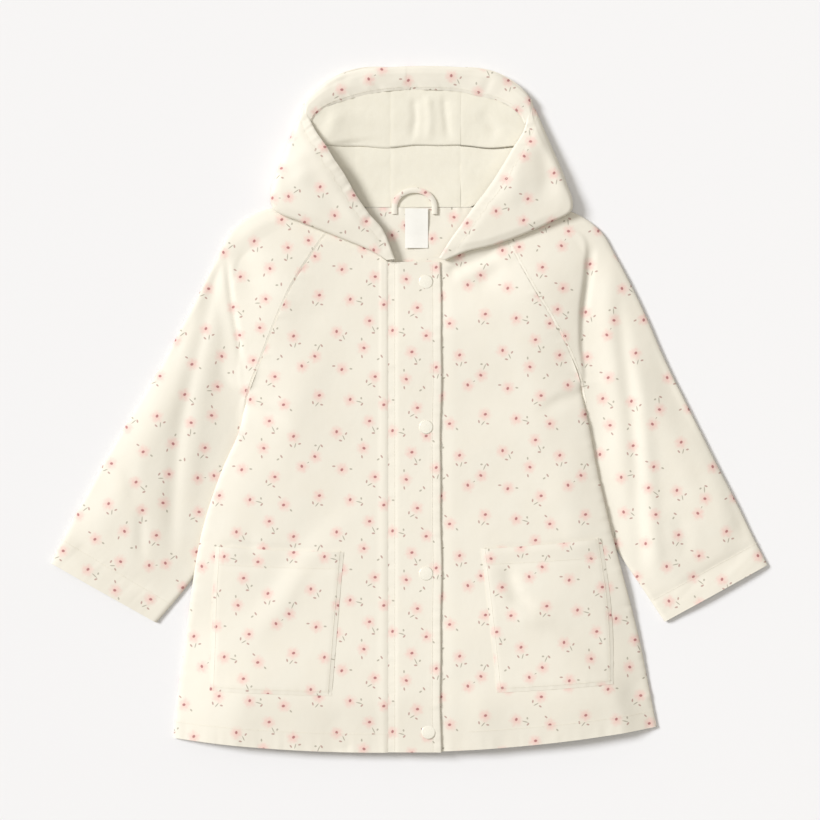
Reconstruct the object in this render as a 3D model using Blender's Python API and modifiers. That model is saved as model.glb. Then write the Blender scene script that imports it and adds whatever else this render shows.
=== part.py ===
"""A toddler's hooded parka of thin coated cotton, laid flat on its back with the hood open.

Metres, +Z up.  X runs across the chest, Y from the hem to the hood, Z up from the table.
Right and left are the wearer's, so the right front lies at -X.  The tables below are in
millimetres on the table top, and MM turns them into metres when a mesh is made.

The coat is made as a tailor cuts it.  Every piece is a grid of points on the cloth's outer
face, lofted through the rows of its own table, with the wall of the cloth added inwards.
"""
import math
from collections import namedtuple

import bpy

# ---------------------------------------------------------------- driving dimensions, mm
MM = 0.001
CLOTH = 1.2            # wall of one layer of coated cotton
FLAP_WALL = 2.0        # the placket flap is cut double
SEAM = 0.3             # gap left between two pieces that are sewn together
SEAM_SHIFT = 0.5       # the same gap, measured along X across a slanting raglan seam
ARMPIT_SEAM = 1.4      # gap at the top of the side seam, where it twists into the raglan

BODY_TOP = 6.0         # outer face of the fronts, in the middle of the body
RAGLAN_TOP = 6.6       # outer face along the front raglan seams
SLEEVE_TOP = 5.8       # outer face along the middle of a sleeve
BODY_EDGE_RADIUS = 6.0
SLEEVE_EDGE_RADIUS = 5.0
SLEEVE_SEAM_RADIUS = 3.5
EDGE_FADE = 34.0       # how far in from the side the fronts come down to BODY_TOP
SLEEVE_FADE = 22.0     # how far a sleeve takes to rise again beside the body
CREASE_WIDTH = 2.5

FLAP_LEFT_X = 28.8     # free edge of the placket flap
FLAP_SEAM_X = -18.9    # where the flap is sewn to the right front
UNDERLAP_X = -11.7     # edge of the left front, under the flap
UNDERLAP_DIP = 1.0     # how far the left front dips under the flap
FLAP_RISE = 1.3        # the flap's outer face above the fronts'
FLAP_EDGE_DIP = 3.2    # width of the dip's slope, beside the free edge

POCKET_RISE = 1.5      # the pocket's outer face above the front's
POCKET_MOUTH_RISE = 1.0

SNAP_RADIUS = 6.3
SNAP_HEIGHT = 1.8
SNAP_PLACES = ((15.3, 114.3), (15.3, -16.2), (15.3, -147.6), (17.5, -289.8))

CREAM = (0.93, 0.88, 0.76, 1.0)
LINING_CREAM = (0.94, 0.91, 0.82, 1.0)
WHITE = (0.93, 0.93, 0.91, 1.0)

# ---------------------------------------------------------------- the body's rows
# One row for each cut across the body, from the hem up.  centre_y is where the row meets
# the opening; edge_x and edge_y are its end at the side seam or, from the underarm up, at
# the front raglan seam; top is the fronts' height there; lift is how high the back is
# raised by the sleeve beneath it, and tucked is how far in that sleeve reaches.
Row = namedtuple("Row", "name centre_y edge_x edge_y top lift tucked")

RIGHT_ROWS = [
    Row("hem", -308.3, -212.4, -296.1, 5.4, 0.0, 0.0),
    Row("pocket_foot", -256.1, -207.9, -251.1, 5.6, 0.0, 0.0),
    Row("pocket_low", -212.4, -201.6, -207.9, 6.0, 0.0, 0.0),
    Row("pocket_high", -171.9, -196.2, -167.4, 7.2, 3.6, 0.0),
    Row("pocket_mouth", -130.0, -189.0, -122.4, 7.5, 3.9, 14.0),
    Row("waist", -98.1, -181.8, -93.6, 7.2, 3.6, 20.5),
    Row("ribs", -62.1, -168.3, -54.9, 7.2, 3.6, 13.5),
    Row("chest", -27.9, -153.0, -19.8, 7.2, 3.6, 0.0),
    Row("armpit", -2.0, -146.0, 10.0, 6.4, 0.0, 0.0),
    Row("underarm", 5.4, -144.0, 15.3, RAGLAN_TOP, 0.0, 0.0),
    Row("raglan_1", 33.3, -132.3, 45.9, RAGLAN_TOP, 0.0, 0.0),
    Row("raglan_2", 62.1, -118.8, 80.1, RAGLAN_TOP, 0.0, 0.0),
    Row("raglan_3", 87.3, -104.4, 111.6, RAGLAN_TOP, 0.0, 0.0),
    Row("raglan_4", 107.1, -91.8, 132.3, RAGLAN_TOP, 0.0, 0.0),
    Row("raglan_5", 121.5, -80.1, 149.4, RAGLAN_TOP, 0.0, 0.0),
    Row("neck", 132.3, -65.7, 168.3, RAGLAN_TOP, 0.0, 0.0),
]
LEFT_ROWS = [
    Row("hem", -308.3, 223.2, -286.2, 5.4, 0.0, 0.0),
    Row("pocket_foot", -257.4, 215.1, -243.9, 5.6, 0.0, 0.0),
    Row("pocket_low", -212.4, 207.9, -207.9, 6.0, 0.0, 0.0),
    Row("pocket_high", -170.1, 198.0, -169.2, 6.8, 2.4, 0.0),
    Row("pocket_mouth", -126.4, 183.6, -115.2, 7.2, 3.6, 4.0),
    Row("waist", -93.6, 177.3, -89.1, 7.2, 3.6, 8.5),
    Row("ribs", -58.5, 169.2, -53.1, 7.2, 3.6, 13.5),
    Row("chest", -24.3, 162.0, -14.4, 7.2, 3.6, 0.0),
    Row("armpit", 4.0, 155.2, 18.5, 6.4, 0.0, 0.0),
    Row("underarm", 9.9, 153.9, 24.3, RAGLAN_TOP, 0.0, 0.0),
    Row("raglan_1", 36.9, 143.1, 53.1, RAGLAN_TOP, 0.0, 0.0),
    Row("raglan_2", 62.1, 127.8, 81.9, RAGLAN_TOP, 0.0, 0.0),
    Row("raglan_3", 84.6, 113.4, 105.3, RAGLAN_TOP, 0.0, 0.0),
    Row("raglan_4", 105.3, 100.8, 127.8, RAGLAN_TOP, 0.0, 0.0),
    Row("raglan_5", 120.6, 89.1, 149.4, RAGLAN_TOP, 0.0, 0.0),
    Row("neck", 132.3, 74.7, 168.3, RAGLAN_TOP, 0.0, 0.0),
]
ROW_NAMES = [row.name for row in RIGHT_ROWS]
UNDERARM = ROW_NAMES.index("underarm")
POCKET_ROWS = range(ROW_NAMES.index("pocket_foot"), ROW_NAMES.index("pocket_mouth") + 1)

# Where a pocket begins and ends along a row, as shares of the row's length from the flap.
PocketSpan = namedtuple("PocketSpan", "foot_in foot_out mouth_in mouth_out")
RIGHT_POCKET = PocketSpan(0.267, 0.848, 0.233, 0.910)
LEFT_POCKET = PocketSpan(0.256, 0.826, 0.215, 0.930)

# The back's raglan seams and neck, from the underarm up: the height of its middle, and
# where each seam lies.
BackRow = namedtuple("BackRow", "centre_y right_x right_y left_x left_y")
BACK_ROWS = [
    BackRow(10.0, -144.0, 15.3, 153.9, 24.3),
    BackRow(42.0, -128.0, 48.0, 137.0, 55.0),
    BackRow(74.0, -112.0, 81.0, 121.0, 85.0),
    BackRow(104.0, -96.0, 112.0, 105.0, 113.0),
    BackRow(132.0, -81.0, 138.0, 90.0, 138.0),
    BackRow(157.0, -66.0, 161.0, 76.0, 161.0),
    BackRow(178.5, -52.0, 181.0, 62.0, 181.0),
]

# ---------------------------------------------------------------- the sleeves' rows
# Below the underarm a row runs from the sleeve's seam, inner, to its outer fold.  tucked
# is how far the seam lies under the body, and inner_top is the sleeve's height there.
ArmRow = namedtuple("ArmRow", "name outer_x outer_y inner_x inner_y tucked inner_top")
RIGHT_ARM = [
    ArmRow("cuff", -323.1, -138.6, -227.7, -192.6, 0.0, 5.2),
    ArmRow("wrist", -299.7, -93.6, -197.1, -155.7, 0.0, 3.6),
    ArmRow("forearm", -285.3, -67.5, -177.3, -126.9, 13.0, 3.2),
    ArmRow("elbow", -269.1, -37.8, -162.9, -97.2, 20.0, 3.2),
    ArmRow("upper_arm", -247.5, -1.8, -155.7, -54.9, 12.6, 3.2),
    ArmRow("biceps", -230.4, 27.0, -154.4, -21.6, 0.0, 3.6),
    ArmRow("armpit", -219.0, 47.0, -147.4, 8.0, 0.0, 5.6),
]
LEFT_ARM = [
    ArmRow("cuff", 323.1, -140.4, 230.4, -191.7, 0.0, 5.2),
    ArmRow("wrist", 308.7, -112.5, 212.4, -164.7, 0.0, 4.4),
    ArmRow("forearm", 295.2, -84.6, 190.8, -132.3, 0.0, 3.2),
    ArmRow("elbow", 278.1, -51.3, 173.7, -101.7, 7.0, 3.2),
    ArmRow("upper_arm", 261.9, -18.9, 158.4, -62.1, 12.6, 3.2),
    ArmRow("biceps", 246.6, 11.7, 164.4, -18.4, 0.0, 3.6),
    ArmRow("armpit", 235.8, 33.3, 156.8, 16.6, 0.0, 5.6),
]
# From the underarm up, a row runs from the raglan seam to the shoulder's fold.  The body's
# side crease crosses it at the share crease of its length, where the cloth drops by step.
CapRow = namedtuple("CapRow", "outer_x outer_y crease step")
RIGHT_CAP = [
    CapRow(-213.3, 57.6, 0.12, 1.4),
    CapRow(-197.1, 89.1, 0.32, 2.2),
    CapRow(-183.6, 115.2, 0.63, 2.2),
    CapRow(-172.8, 136.8, 0.80, 1.4),
    CapRow(-159.3, 161.1, 0.78, 0.0),
    CapRow(-132.3, 178.7, 0.70, 0.0),
    CapRow(-63.9, 182.3, 0.50, 0.0),
]
LEFT_CAP = [
    CapRow(229.5, 46.8, 0.10, 2.0),
    CapRow(216.0, 78.3, 0.17, 2.7),
    CapRow(201.6, 108.9, 0.38, 3.0),
    CapRow(186.3, 137.7, 0.63, 2.8),
    CapRow(171.9, 161.1, 0.80, 1.4),
    CapRow(144.9, 178.2, 0.70, 0.0),
    CapRow(72.9, 182.3, 0.50, 0.0),
]
LOW_CREASE = 0.22      # where the crease's two columns run on, below the underarm

# ---------------------------------------------------------------- the hood's rows
# A row starts at the sewn edge (the neck seam, then the seam to the centre strip), runs
# under the hood to the fold, turns over it, and comes back on top to the mouth's edge.
# low and high are the cloth's outer faces under and over the fold.
HoodRow = namedtuple(
    "HoodRow", "sewn_x sewn_y sewn_z fold_x fold_y low high radius mouth_x mouth_y mouth_z"
)
RIGHT_HOOD = [
    HoodRow(-16.2, 134.9, 7.4, -20.3, 133.8, 7.4, 11.4, 2.2, -12.6, 134.6, 11.5),
    HoodRow(-28.8, 146.7, 7.4, -35.1, 142.7, 7.4, 11.9, 3.0, -22.5, 159.3, 12.5),
    HoodRow(-46.8, 160.2, 7.4, -57.6, 152.1, 7.4, 12.4, 3.5, -36.0, 175.5, 14.0),
    HoodRow(-60.3, 170.1, 7.4, -75.6, 159.3, 7.4, 12.9, 3.5, -46.8, 190.8, 15.0),
    HoodRow(-64.8, 178.2, 7.4, -98.1, 168.3, 7.4, 13.4, 3.5, -54.9, 205.2, 15.5),
    HoodRow(-64.5, 183.6, 6.9, -122.4, 180.4, 7.4, 13.4, 3.5, -62.1, 216.9, 16.0),
    HoodRow(-60.5, 184.4, 3.8, -124.7, 190.5, 4.4, 13.4, 5.0, -67.5, 224.6, 16.0),
    HoodRow(-50.5, 183.0, 0.3, -123.3, 199.4, 2.0, 12.9, 6.0, -72.0, 232.2, 15.5),
    HoodRow(-33.3, 182.0, 0.0, -119.7, 211.5, 0.4, 12.4, 7.0, -77.4, 240.3, 15.0),
    HoodRow(-18.0, 181.8, 0.0, -115.2, 224.1, 0.0, 11.9, 7.0, -82.4, 247.5, 14.5),
    HoodRow(-18.0, 210.6, 0.0, -109.8, 237.6, 0.0, 11.4, 7.0, -86.4, 254.7, 13.5),
    HoodRow(-18.0, 239.4, 0.0, -104.4, 251.1, 0.0, 10.9, 6.5, -89.6, 261.9, 12.5),
    HoodRow(-18.0, 267.3, 0.0, -99.9, 261.9, 0.0, 10.4, 5.0, -91.3, 268.1, 11.5),
]
LEFT_HOOD = [
    HoodRow(29.8, 134.9, 7.4, 33.6, 133.8, 7.4, 11.4, 2.2, 27.0, 135.9, 11.5),
    HoodRow(41.4, 143.6, 7.4, 50.4, 140.9, 7.4, 11.9, 3.0, 36.0, 150.3, 12.5),
    HoodRow(58.5, 155.7, 7.4, 77.4, 147.6, 7.4, 12.4, 3.5, 45.0, 162.9, 14.0),
    HoodRow(70.2, 168.3, 7.4, 101.7, 156.2, 7.4, 12.9, 3.5, 53.1, 174.6, 15.0),
    HoodRow(74.7, 177.8, 7.4, 126.0, 167.0, 7.4, 13.4, 3.5, 60.3, 184.7, 15.5),
    HoodRow(74.0, 183.6, 6.9, 146.7, 179.4, 7.4, 13.4, 3.5, 69.3, 196.2, 16.0),
    HoodRow(70.0, 184.4, 3.8, 146.7, 189.6, 4.4, 13.4, 5.0, 75.6, 205.2, 16.0),
    HoodRow(60.5, 183.0, 0.3, 143.1, 199.8, 2.0, 12.9, 6.0, 81.9, 215.1, 15.5),
    HoodRow(52.2, 182.0, 0.0, 137.7, 215.1, 0.4, 12.4, 7.0, 88.2, 225.5, 15.0),
    HoodRow(46.8, 181.8, 0.0, 132.3, 227.7, 0.0, 11.9, 7.0, 93.6, 234.9, 14.5),
    HoodRow(46.8, 210.6, 0.0, 126.0, 242.1, 0.0, 11.4, 7.0, 98.6, 242.1, 13.5),
    HoodRow(46.8, 239.4, 0.0, 120.6, 254.7, 0.0, 10.9, 6.5, 103.1, 250.4, 12.5),
    HoodRow(46.8, 267.3, 0.0, 115.2, 267.3, 0.0, 10.4, 5.0, 106.2, 262.2, 11.5),
]
# The rim of the hood turns up off the table: how far in from the rim, and how high.
RimStep = namedtuple("RimStep", "inset rise")
RIM_TURN = [RimStep(9.0, 0.0), RimStep(2.5, 1.2), RimStep(0.4, 3.6), RimStep(0.0, 6.6)]
# Each end of the rim, where the hood side folds over: the fold, the mouth's edge there,
# and how far the rim bows out between that fold and the centre strip.
RimEnd = namedtuple("RimEnd", "centre_x centre_y fold_x fold_y mouth_x mouth_y bow")
RIGHT_RIM = RimEnd(-18.0, 307.4, -95.0, 274.5, -90.6, 272.6, 12.0)
LEFT_RIM = RimEnd(46.8, 307.4, 110.7, 278.1, 106.9, 275.2, 9.5)
RIM_RADIUS = 2.4
RIM_HIGH = 11.0
CROWN_Y = 308.7        # top of the rim, in the middle of the centre strip

# The print-cloth facing inside the rim: its outer edge on the rim, its edge on the lining.
FacingRow = namedtuple("FacingRow", "rim_x rim_y inner_x inner_y")
RIGHT_FACING = [
    FacingRow(-87.8, 282.0, -78.5, 269.0),
    FacingRow(-72.0, 295.2, -58.0, 277.5),
    FacingRow(-45.0, 303.2, -34.0, 283.6),
    FacingRow(-18.0, 306.6, -16.6, 286.2),
    FacingRow(-3.0, 307.2, -3.0, 287.2),
]
LEFT_FACING = [
    FacingRow(-2.6, 307.2, -2.6, 287.2),
    FacingRow(20.0, 307.6, 20.0, 287.0),
    FacingRow(46.4, 306.6, 46.4, 285.3),
    FacingRow(66.0, 303.4, 62.0, 281.5),
    FacingRow(88.0, 296.6, 81.0, 277.0),
    FacingRow(98.2, 285.0, 93.2, 271.8),
]
FacingStep = namedtuple("FacingStep", "share height")
FACING_STEPS = [
    FacingStep(0.0, 8.2), FacingStep(0.2, 8.6), FacingStep(0.6, 7.6), FacingStep(1.0, 6.4)
]

# The lining is folded back on itself once: this is its path from the facing to the neck,
# with its height at the middle of the cloth.  None stands for the facing's edge.
LiningStep = namedtuple("LiningStep", "y height")
LINING_STEPS = [
    LiningStep(None, 5.8), LiningStep(251.0, 5.8), LiningStep(235.9, 5.8),
    LiningStep(234.9, 5.0), LiningStep(235.9, 4.2), LiningStep(250.0, 4.2),
    LiningStep(250.8, 3.4), LiningStep(250.0, 2.6), LiningStep(234.0, 2.6),
    LiningStep(208.0, 2.6), LiningStep(182.3, 2.6),
]
# Outer edge of the lining at each height up the hood, inside the hood's folds.
LiningEdge = namedtuple("LiningEdge", "y right_x left_x")
LINING_EDGES = [
    LiningEdge(182.3, -40.0, 55.0), LiningEdge(197.0, -69.0, 90.0),
    LiningEdge(215.0, -88.0, 106.0), LiningEdge(235.0, -95.0, 113.0),
    LiningEdge(251.0, -92.0, 107.0), LiningEdge(266.0, -84.0, 101.0),
]
LINING_SEAMS = (-16.6, 46.4)
LINING_GAP = 0.5

# Soft folds that stand out: three points along each, its height (a trough is below zero)
# and how wide it is to each side.
Fold = namedtuple("Fold", "x0 y0 x1 y1 x2 y2 height width")
BODY_FOLDS = [
    Fold(-86.0, -106.0, -111.0, -135.0, -171.0, -202.0, -1.9, 12.0),
    Fold(32.0, 121.0, 67.0, 137.0, 84.0, 146.0, -1.6, 7.0),
    Fold(86.0, -143.0, 95.0, -167.0, 115.0, -179.0, -1.8, 9.0),
    Fold(120.0, -40.0, 150.0, -110.0, 165.0, -150.0, 1.6, 16.0),
    Fold(-60.0, 70.0, -95.0, 20.0, -120.0, -50.0, 1.4, 22.0),
]
RIGHT_ARM_FOLDS = [
    Fold(-172.0, 120.0, -198.0, -10.0, -216.0, -140.0, -2.3, 12.0),
    Fold(-203.0, 70.0, -236.0, -20.0, -262.0, -115.0, 1.8, 17.0),
    Fold(-160.0, 150.0, -143.0, 117.0, -128.0, 96.0, -1.5, 9.0),
]
LEFT_ARM_FOLDS = [
    Fold(186.0, 110.0, 200.0, 0.0, 212.0, -150.0, -2.2, 9.0),
    Fold(206.0, 60.0, 213.0, -20.0, 224.0, -150.0, 3.0, 9.0),
    Fold(212.0, 60.0, 250.0, -20.0, 284.0, -110.0, -1.6, 14.0),
]
RIGHT_HOOD_FOLDS = [
    Fold(-98.0, 215.0, -80.0, 196.0, -50.0, 168.0, -1.6, 9.0),
]
LEFT_HOOD_FOLDS = [
    Fold(118.0, 232.0, 122.0, 200.0, 110.0, 172.0, -1.8, 10.0),
]

# How cloth comes down to a side seam: share of the radius in from the edge (where it has
# turned, and where it stays flat) and the share of the drop that is left.
EdgeStep = namedtuple("EdgeStep", "turned flat drop")
EDGE_STEPS = [
    EdgeStep(0.0, 0.0, 1.0), EdgeStep(0.0, 0.12, 0.6), EdgeStep(0.18, 0.3, 0.26),
    EdgeStep(0.5, 0.6, 0.07), EdgeStep(1.0, 1.0, 0.0),
]
HALF_TURN = [math.radians(angle) for angle in (-90.0, -45.0, 0.0, 45.0, 90.0)]

# ---------------------------------------------------------------- small geometry


def mix(a, b, share):
    """The value that lies this share of the way from a to b."""
    return a + (b - a) * share


def smooth(value):
    """An S-shaped ramp from 0 to 1."""
    value = min(max(value, 0.0), 1.0)
    return value * value * (3.0 - 2.0 * value)


def spread(count):
    """Shares from 0 to 1, in this many equal steps."""
    return [step / count for step in range(count + 1)]


def look_up(table, key, value, wanted):
    """Straight-line reading of a table whose rows rise in the column key."""
    for lower, upper in zip(table, table[1:]):
        if value <= getattr(upper, key) or upper is table[-1]:
            span = getattr(upper, key) - getattr(lower, key)
            share = min(max((value - getattr(lower, key)) / span, 0.0), 1.0)
            return mix(getattr(lower, wanted), getattr(upper, wanted), share)


def relief(folds, x, y):
    """What the soft folds add to the cloth's height at this place."""
    total = 0.0
    for fold in folds:
        nearest = None
        ends = [(fold.x0, fold.y0), (fold.x1, fold.y1), (fold.x2, fold.y2)]
        for part, ((ax, ay), (bx, by)) in enumerate(zip(ends, ends[1:])):
            along = ((x - ax) * (bx - ax) + (y - ay) * (by - ay))
            along = min(max(along / ((bx - ax) ** 2 + (by - ay) ** 2), 0.0), 1.0)
            away = math.hypot(x - mix(ax, bx, along), y - mix(ay, by, along))
            if nearest is None or away < nearest[0]:
                nearest = (away, (part + along) / 2)
        away, along = nearest
        ends_fade = smooth(along / 0.25) * smooth((1.0 - along) / 0.25)
        total += fold.height * ends_fade * math.exp(-((away / fold.width) ** 2))
    return total


def side_seam_gap(row):
    """The gap between the fronts and the back, at the side."""
    return ARMPIT_SEAM if row.name == "armpit" else SEAM


def edge_columns(radius, drop, flat_z, is_turned):
    """(distance from the edge, height) of the columns that come down to a seam."""
    columns = []
    for step in EDGE_STEPS:
        inward = radius * (step.turned if is_turned else step.flat)
        columns.append((inward, flat_z + (drop * step.drop if is_turned else 0.0)))
    return columns


# ---------------------------------------------------------------- meshes and materials


def material(name, colour, roughness):
    """A plain finish of this colour."""
    made = bpy.data.materials.new(name)
    made.use_nodes = True
    shader = made.node_tree.nodes["Principled BSDF"]
    shader.inputs["Base Color"].default_value = colour
    shader.inputs["Roughness"].default_value = roughness
    return made


def sheet(name, rows, colour, wall=CLOTH, side=-1, offset=-1.0, roughness=0.45):
    """Loft rows of points into a sheet, and add the cloth's wall with Solidify.

    side is +1 where the rows run the mirrored way, so that the faces still point out.
    """
    across = len(rows[0])
    points = [(x * MM, y * MM, z * MM) for row in rows for x, y, z in row]
    faces = []
    for i in range(len(rows) - 1):
        for j in range(across - 1):
            a = i * across + j
            quad = (a, a + 1, a + across + 1, a + across)
            faces.append(quad if side < 0 else quad[::-1])
    mesh = bpy.data.meshes.new(name)
    mesh.from_pydata(points, [], faces)
    mesh.materials.append(material(name, colour, roughness))
    piece = bpy.data.objects.new(name, mesh)
    PARKA.objects.link(piece)
    wall_maker = piece.modifiers.new("Wall", "SOLIDIFY")
    wall_maker.thickness = wall * MM
    wall_maker.offset = offset
    wall_maker.use_even_offset = True
    wall_maker.use_quality_normals = True
    mesh.shade_smooth()
    return piece


# ---------------------------------------------------------------- fronts


def row_y(right, left, x, centre_y):
    """Height up the coat of a row at x: a shallow bow through its two ends and middle."""
    share = (x - right.edge_x) / (left.edge_x - right.edge_x)
    chord = mix(right.edge_y, left.edge_y, share)
    bow = centre_y - mix(right.edge_y, left.edge_y, 0.5)
    return chord + 4.0 * bow * share * (1.0 - share)


def front_row(index, side, pocket, first_x):
    """Points of one row of a front, from the edge at the opening to the side."""
    right, left = RIGHT_ROWS[index], LEFT_ROWS[index]
    row = right if side < 0 else left
    is_turned = index < UNDERARM
    length = abs(row.edge_x - first_x)
    foot, mouth = POCKET_ROWS[0], POCKET_ROWS[-1]
    up = min(max((index - foot) / (mouth - foot), 0.0), 1.0)
    inner = mix(pocket.foot_in, pocket.mouth_in, up) * length
    outer = mix(pocket.foot_out, pocket.mouth_out, up) * length
    radius = min(BODY_EDGE_RADIUS, 0.8 * (length - outer))
    seam_z = (row.top + row.lift + side_seam_gap(row)) / 2
    drop = seam_z - row.top if is_turned else 0.0
    places = [inner * share for share in spread(2)[:-1]]
    places += [mix(inner, outer, share) for share in spread(4)]
    points = []
    for place in places:
        inwards = length - place
        rise = 1.0 - smooth((inwards - row.tucked) / EDGE_FADE)
        points.append((place, mix(BODY_TOP, row.top, rise)))
    edge = edge_columns(radius, drop, row.top, is_turned)
    points += [(length - inwards, height) for inwards, height in reversed(edge)]
    made = []
    for place, height in points:
        x = first_x + side * place
        if index < UNDERARM:
            y = row_y(right, left, x, (right.centre_y + left.centre_y) / 2)
            y += (row.edge_y - row_y(right, left, row.edge_x, 0.0)) * place / length
        else:
            y = mix(row.centre_y, row.edge_y, place / length)
        made.append((x, y, height + relief(BODY_FOLDS, x, y)))
    return made


def underlap_row(front_points):
    """The left front runs on under the flap, a little lower, to its own edge."""
    x, y, z = front_points[0]
    dipped = z - UNDERLAP_DIP
    hidden = [mix(UNDERLAP_X, FLAP_LEFT_X, share) for share in spread(2)]
    return [(hidden_x, y, dipped) for hidden_x in hidden] + front_points


def make_fronts():
    """Both fronts, the flap over the opening, and the pockets on the fronts."""
    right_rows = [front_row(i, -1, RIGHT_POCKET, FLAP_SEAM_X) for i in range(len(RIGHT_ROWS))]
    sheet("front_right", right_rows, CREAM, side=1)
    shown_x = FLAP_LEFT_X + FLAP_EDGE_DIP
    shown_rows = [front_row(i, 1, LEFT_POCKET, shown_x) for i in range(len(LEFT_ROWS))]
    left_rows = [underlap_row(points) for points in shown_rows]
    sheet("front_left", left_rows, CREAM)
    flap_rows = []
    for points in left_rows:
        under = points[:3]
        lift = UNDERLAP_DIP + FLAP_RISE
        first = (FLAP_SEAM_X + SEAM, under[0][1], under[0][2] + lift)
        flap_rows.append([first] + [(x, y, z + lift) for x, y, z in under])
    sheet("placket_flap", flap_rows, CREAM, wall=FLAP_WALL)
    make_pocket("pocket_right", right_rows, 2, 1)
    make_pocket("pocket_left", left_rows, 5, -1)


def make_pocket(name, front_points, first, side):
    """A patch pocket: the front's own points under it, moved out."""
    rows = []
    for index in POCKET_ROWS:
        mouth_rise = POCKET_MOUTH_RISE if index == POCKET_ROWS[-1] else 0.0
        patch = front_points[index][first:first + 5]
        rows.append([(x, y, z + POCKET_RISE + mouth_rise) for x, y, z in patch])
    sheet(name, rows, CREAM, side=side)


# ---------------------------------------------------------------- back


def back_half(row, side, centre_x, is_turned):
    """(x, height) of the back's columns from one side to its middle."""
    seam_z = (row.top + row.lift - side_seam_gap(row)) / 2
    drop = seam_z - row.lift if is_turned else 0.0
    columns = edge_columns(BODY_EDGE_RADIUS, drop, row.lift, is_turned)
    columns += [(row.tucked + 9.0, row.lift), (row.tucked + 26.0, 0.0)]
    half = abs(row.edge_x - centre_x)
    last = columns[-1][0]
    columns.append(((last + half) / 2, 0.0))
    return [(row.edge_x - side * inwards, height) for inwards, height in columns]


def make_back():
    """The back, flat on the table, raised at its sides where a sleeve lies beneath."""
    rows = []
    for index, (right, left) in enumerate(zip(RIGHT_ROWS, LEFT_ROWS)):
        is_turned = index < UNDERARM
        centre_y = (right.centre_y + left.centre_y) / 2
        if not is_turned:
            upper = BACK_ROWS[index - UNDERARM]
            right = right._replace(edge_x=upper.right_x, edge_y=upper.right_y)
            left = left._replace(edge_x=upper.left_x, edge_y=upper.left_y)
            centre_y = upper.centre_y
        centre_x = (right.edge_x + left.edge_x) / 2
        columns = back_half(right, -1, centre_x, is_turned) + [(centre_x, 0.0)]
        columns += reversed(back_half(left, 1, centre_x, is_turned))
        rows.append([(x, row_y(right, left, x, centre_y), z) for x, z in columns])
    sheet("back", rows, CREAM, side=1)


# ---------------------------------------------------------------- sleeves


def fold_over(start, fold, end, low, high, radius):
    """Points round a fold: from the lower layer's inner side of it to the upper's."""
    made = []
    from_start = math.atan2(fold[1] - start[1], fold[0] - start[0])
    to_end = math.atan2(fold[1] - end[1], fold[0] - end[0])
    swing = math.atan2(math.sin(to_end - from_start), math.cos(to_end - from_start))
    for angle in HALF_TURN:
        heading = from_start + swing * (angle / math.pi + 0.5)
        back = radius * (1.0 - math.cos(angle))
        height = mix(low, high, 0.5 + 0.5 * math.sin(angle))
        made.append((fold[0] - math.cos(heading) * back,
                     fold[1] - math.sin(heading) * back, height))
    return made


def sleeve_row(outer, top_inner, back_inner, top_at, seam_z, is_turned, crease, folds):
    """One row round a sleeve: seam, under layer, outer fold, top layer, seam."""
    length = math.dist(outer, top_inner)
    back_length = math.dist(outer, back_inner)
    radius = min(SLEEVE_EDGE_RADIUS, length * 0.25)
    seam_radius = min(SLEEVE_SEAM_RADIUS, length * 0.15)
    under = edge_columns(seam_radius, seam_z - SEAM / 2, 0.0, is_turned)
    under += [(mix(seam_radius, back_length - radius, share), 0.0) for share in (0.33, 0.67)]
    made = []
    for inwards, height in under:
        share = inwards / back_length
        x, y = mix(back_inner[0], outer[0], share), mix(back_inner[1], outer[1], share)
        made.append((x, y, height))
    crease_foot = crease * length + CREASE_WIDTH
    rim = mix(outer[0], top_inner[0], radius / length), mix(outer[1], top_inner[1], radius / length)
    fold_high = top_at(length - radius) + relief(folds, *rim)
    made += fold_over(back_inner, outer, top_inner, 0.0, fold_high, radius)
    places = [mix(length - radius, crease_foot, share) for share in (0.25, 0.5, 0.75, 1.0)]
    places += [crease * length, mix(crease * length, seam_radius, 0.5)]
    columns = [(place, top_at(place), True) for place in places]
    flat = top_at(seam_radius)
    edge = edge_columns(seam_radius, seam_z + SEAM / 2 - flat, flat, is_turned)
    columns += [(inwards, height, not is_turned) for inwards, height in reversed(edge)]
    for inwards, height, is_soft in columns:
        share = inwards / length
        x, y = mix(top_inner[0], outer[0], share), mix(top_inner[1], outer[1], share)
        made.append((x, y, height + (relief(folds, x, y) if is_soft else 0.0)))
    return made


def make_sleeve(name, side, arm, cap, body_rows, folds):
    """A one-piece raglan sleeve, flattened, with its seam under the arm."""
    rows = []
    for row in arm:
        inner = (row.inner_x, row.inner_y)

        def arm_top(inwards, row=row):
            return mix(row.inner_top, SLEEVE_TOP, smooth((inwards - row.tucked - 3) / SLEEVE_FADE))

        rows.append(sleeve_row((row.outer_x, row.outer_y), inner, inner, arm_top,
                               row.inner_top / 2, True, LOW_CREASE, folds))
    for index, row in enumerate(cap):
        seam, back = body_rows[UNDERARM + index], BACK_ROWS[index]
        top_inner = (seam.edge_x + side * SEAM_SHIFT, seam.edge_y)
        back_x, back_y = (back.left_x, back.left_y) if side > 0 else (back.right_x, back.right_y)
        back_inner = (back_x + side * SEAM_SHIFT, back_y)
        length = math.dist((row.outer_x, row.outer_y), top_inner)
        folded = folds + BODY_FOLDS

        def cap_top(inwards, row=row, length=length):
            beyond = inwards - row.crease * length
            if beyond < CREASE_WIDTH / 2:
                return RAGLAN_TOP
            return mix(RAGLAN_TOP - row.step, SLEEVE_TOP, smooth(beyond / SLEEVE_FADE))

        rows.append(sleeve_row((row.outer_x, row.outer_y), top_inner, back_inner, cap_top,
                               0.0, False, row.crease, folded))
    sheet(name, rows, CREAM, side=side)


# ---------------------------------------------------------------- hood


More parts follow.
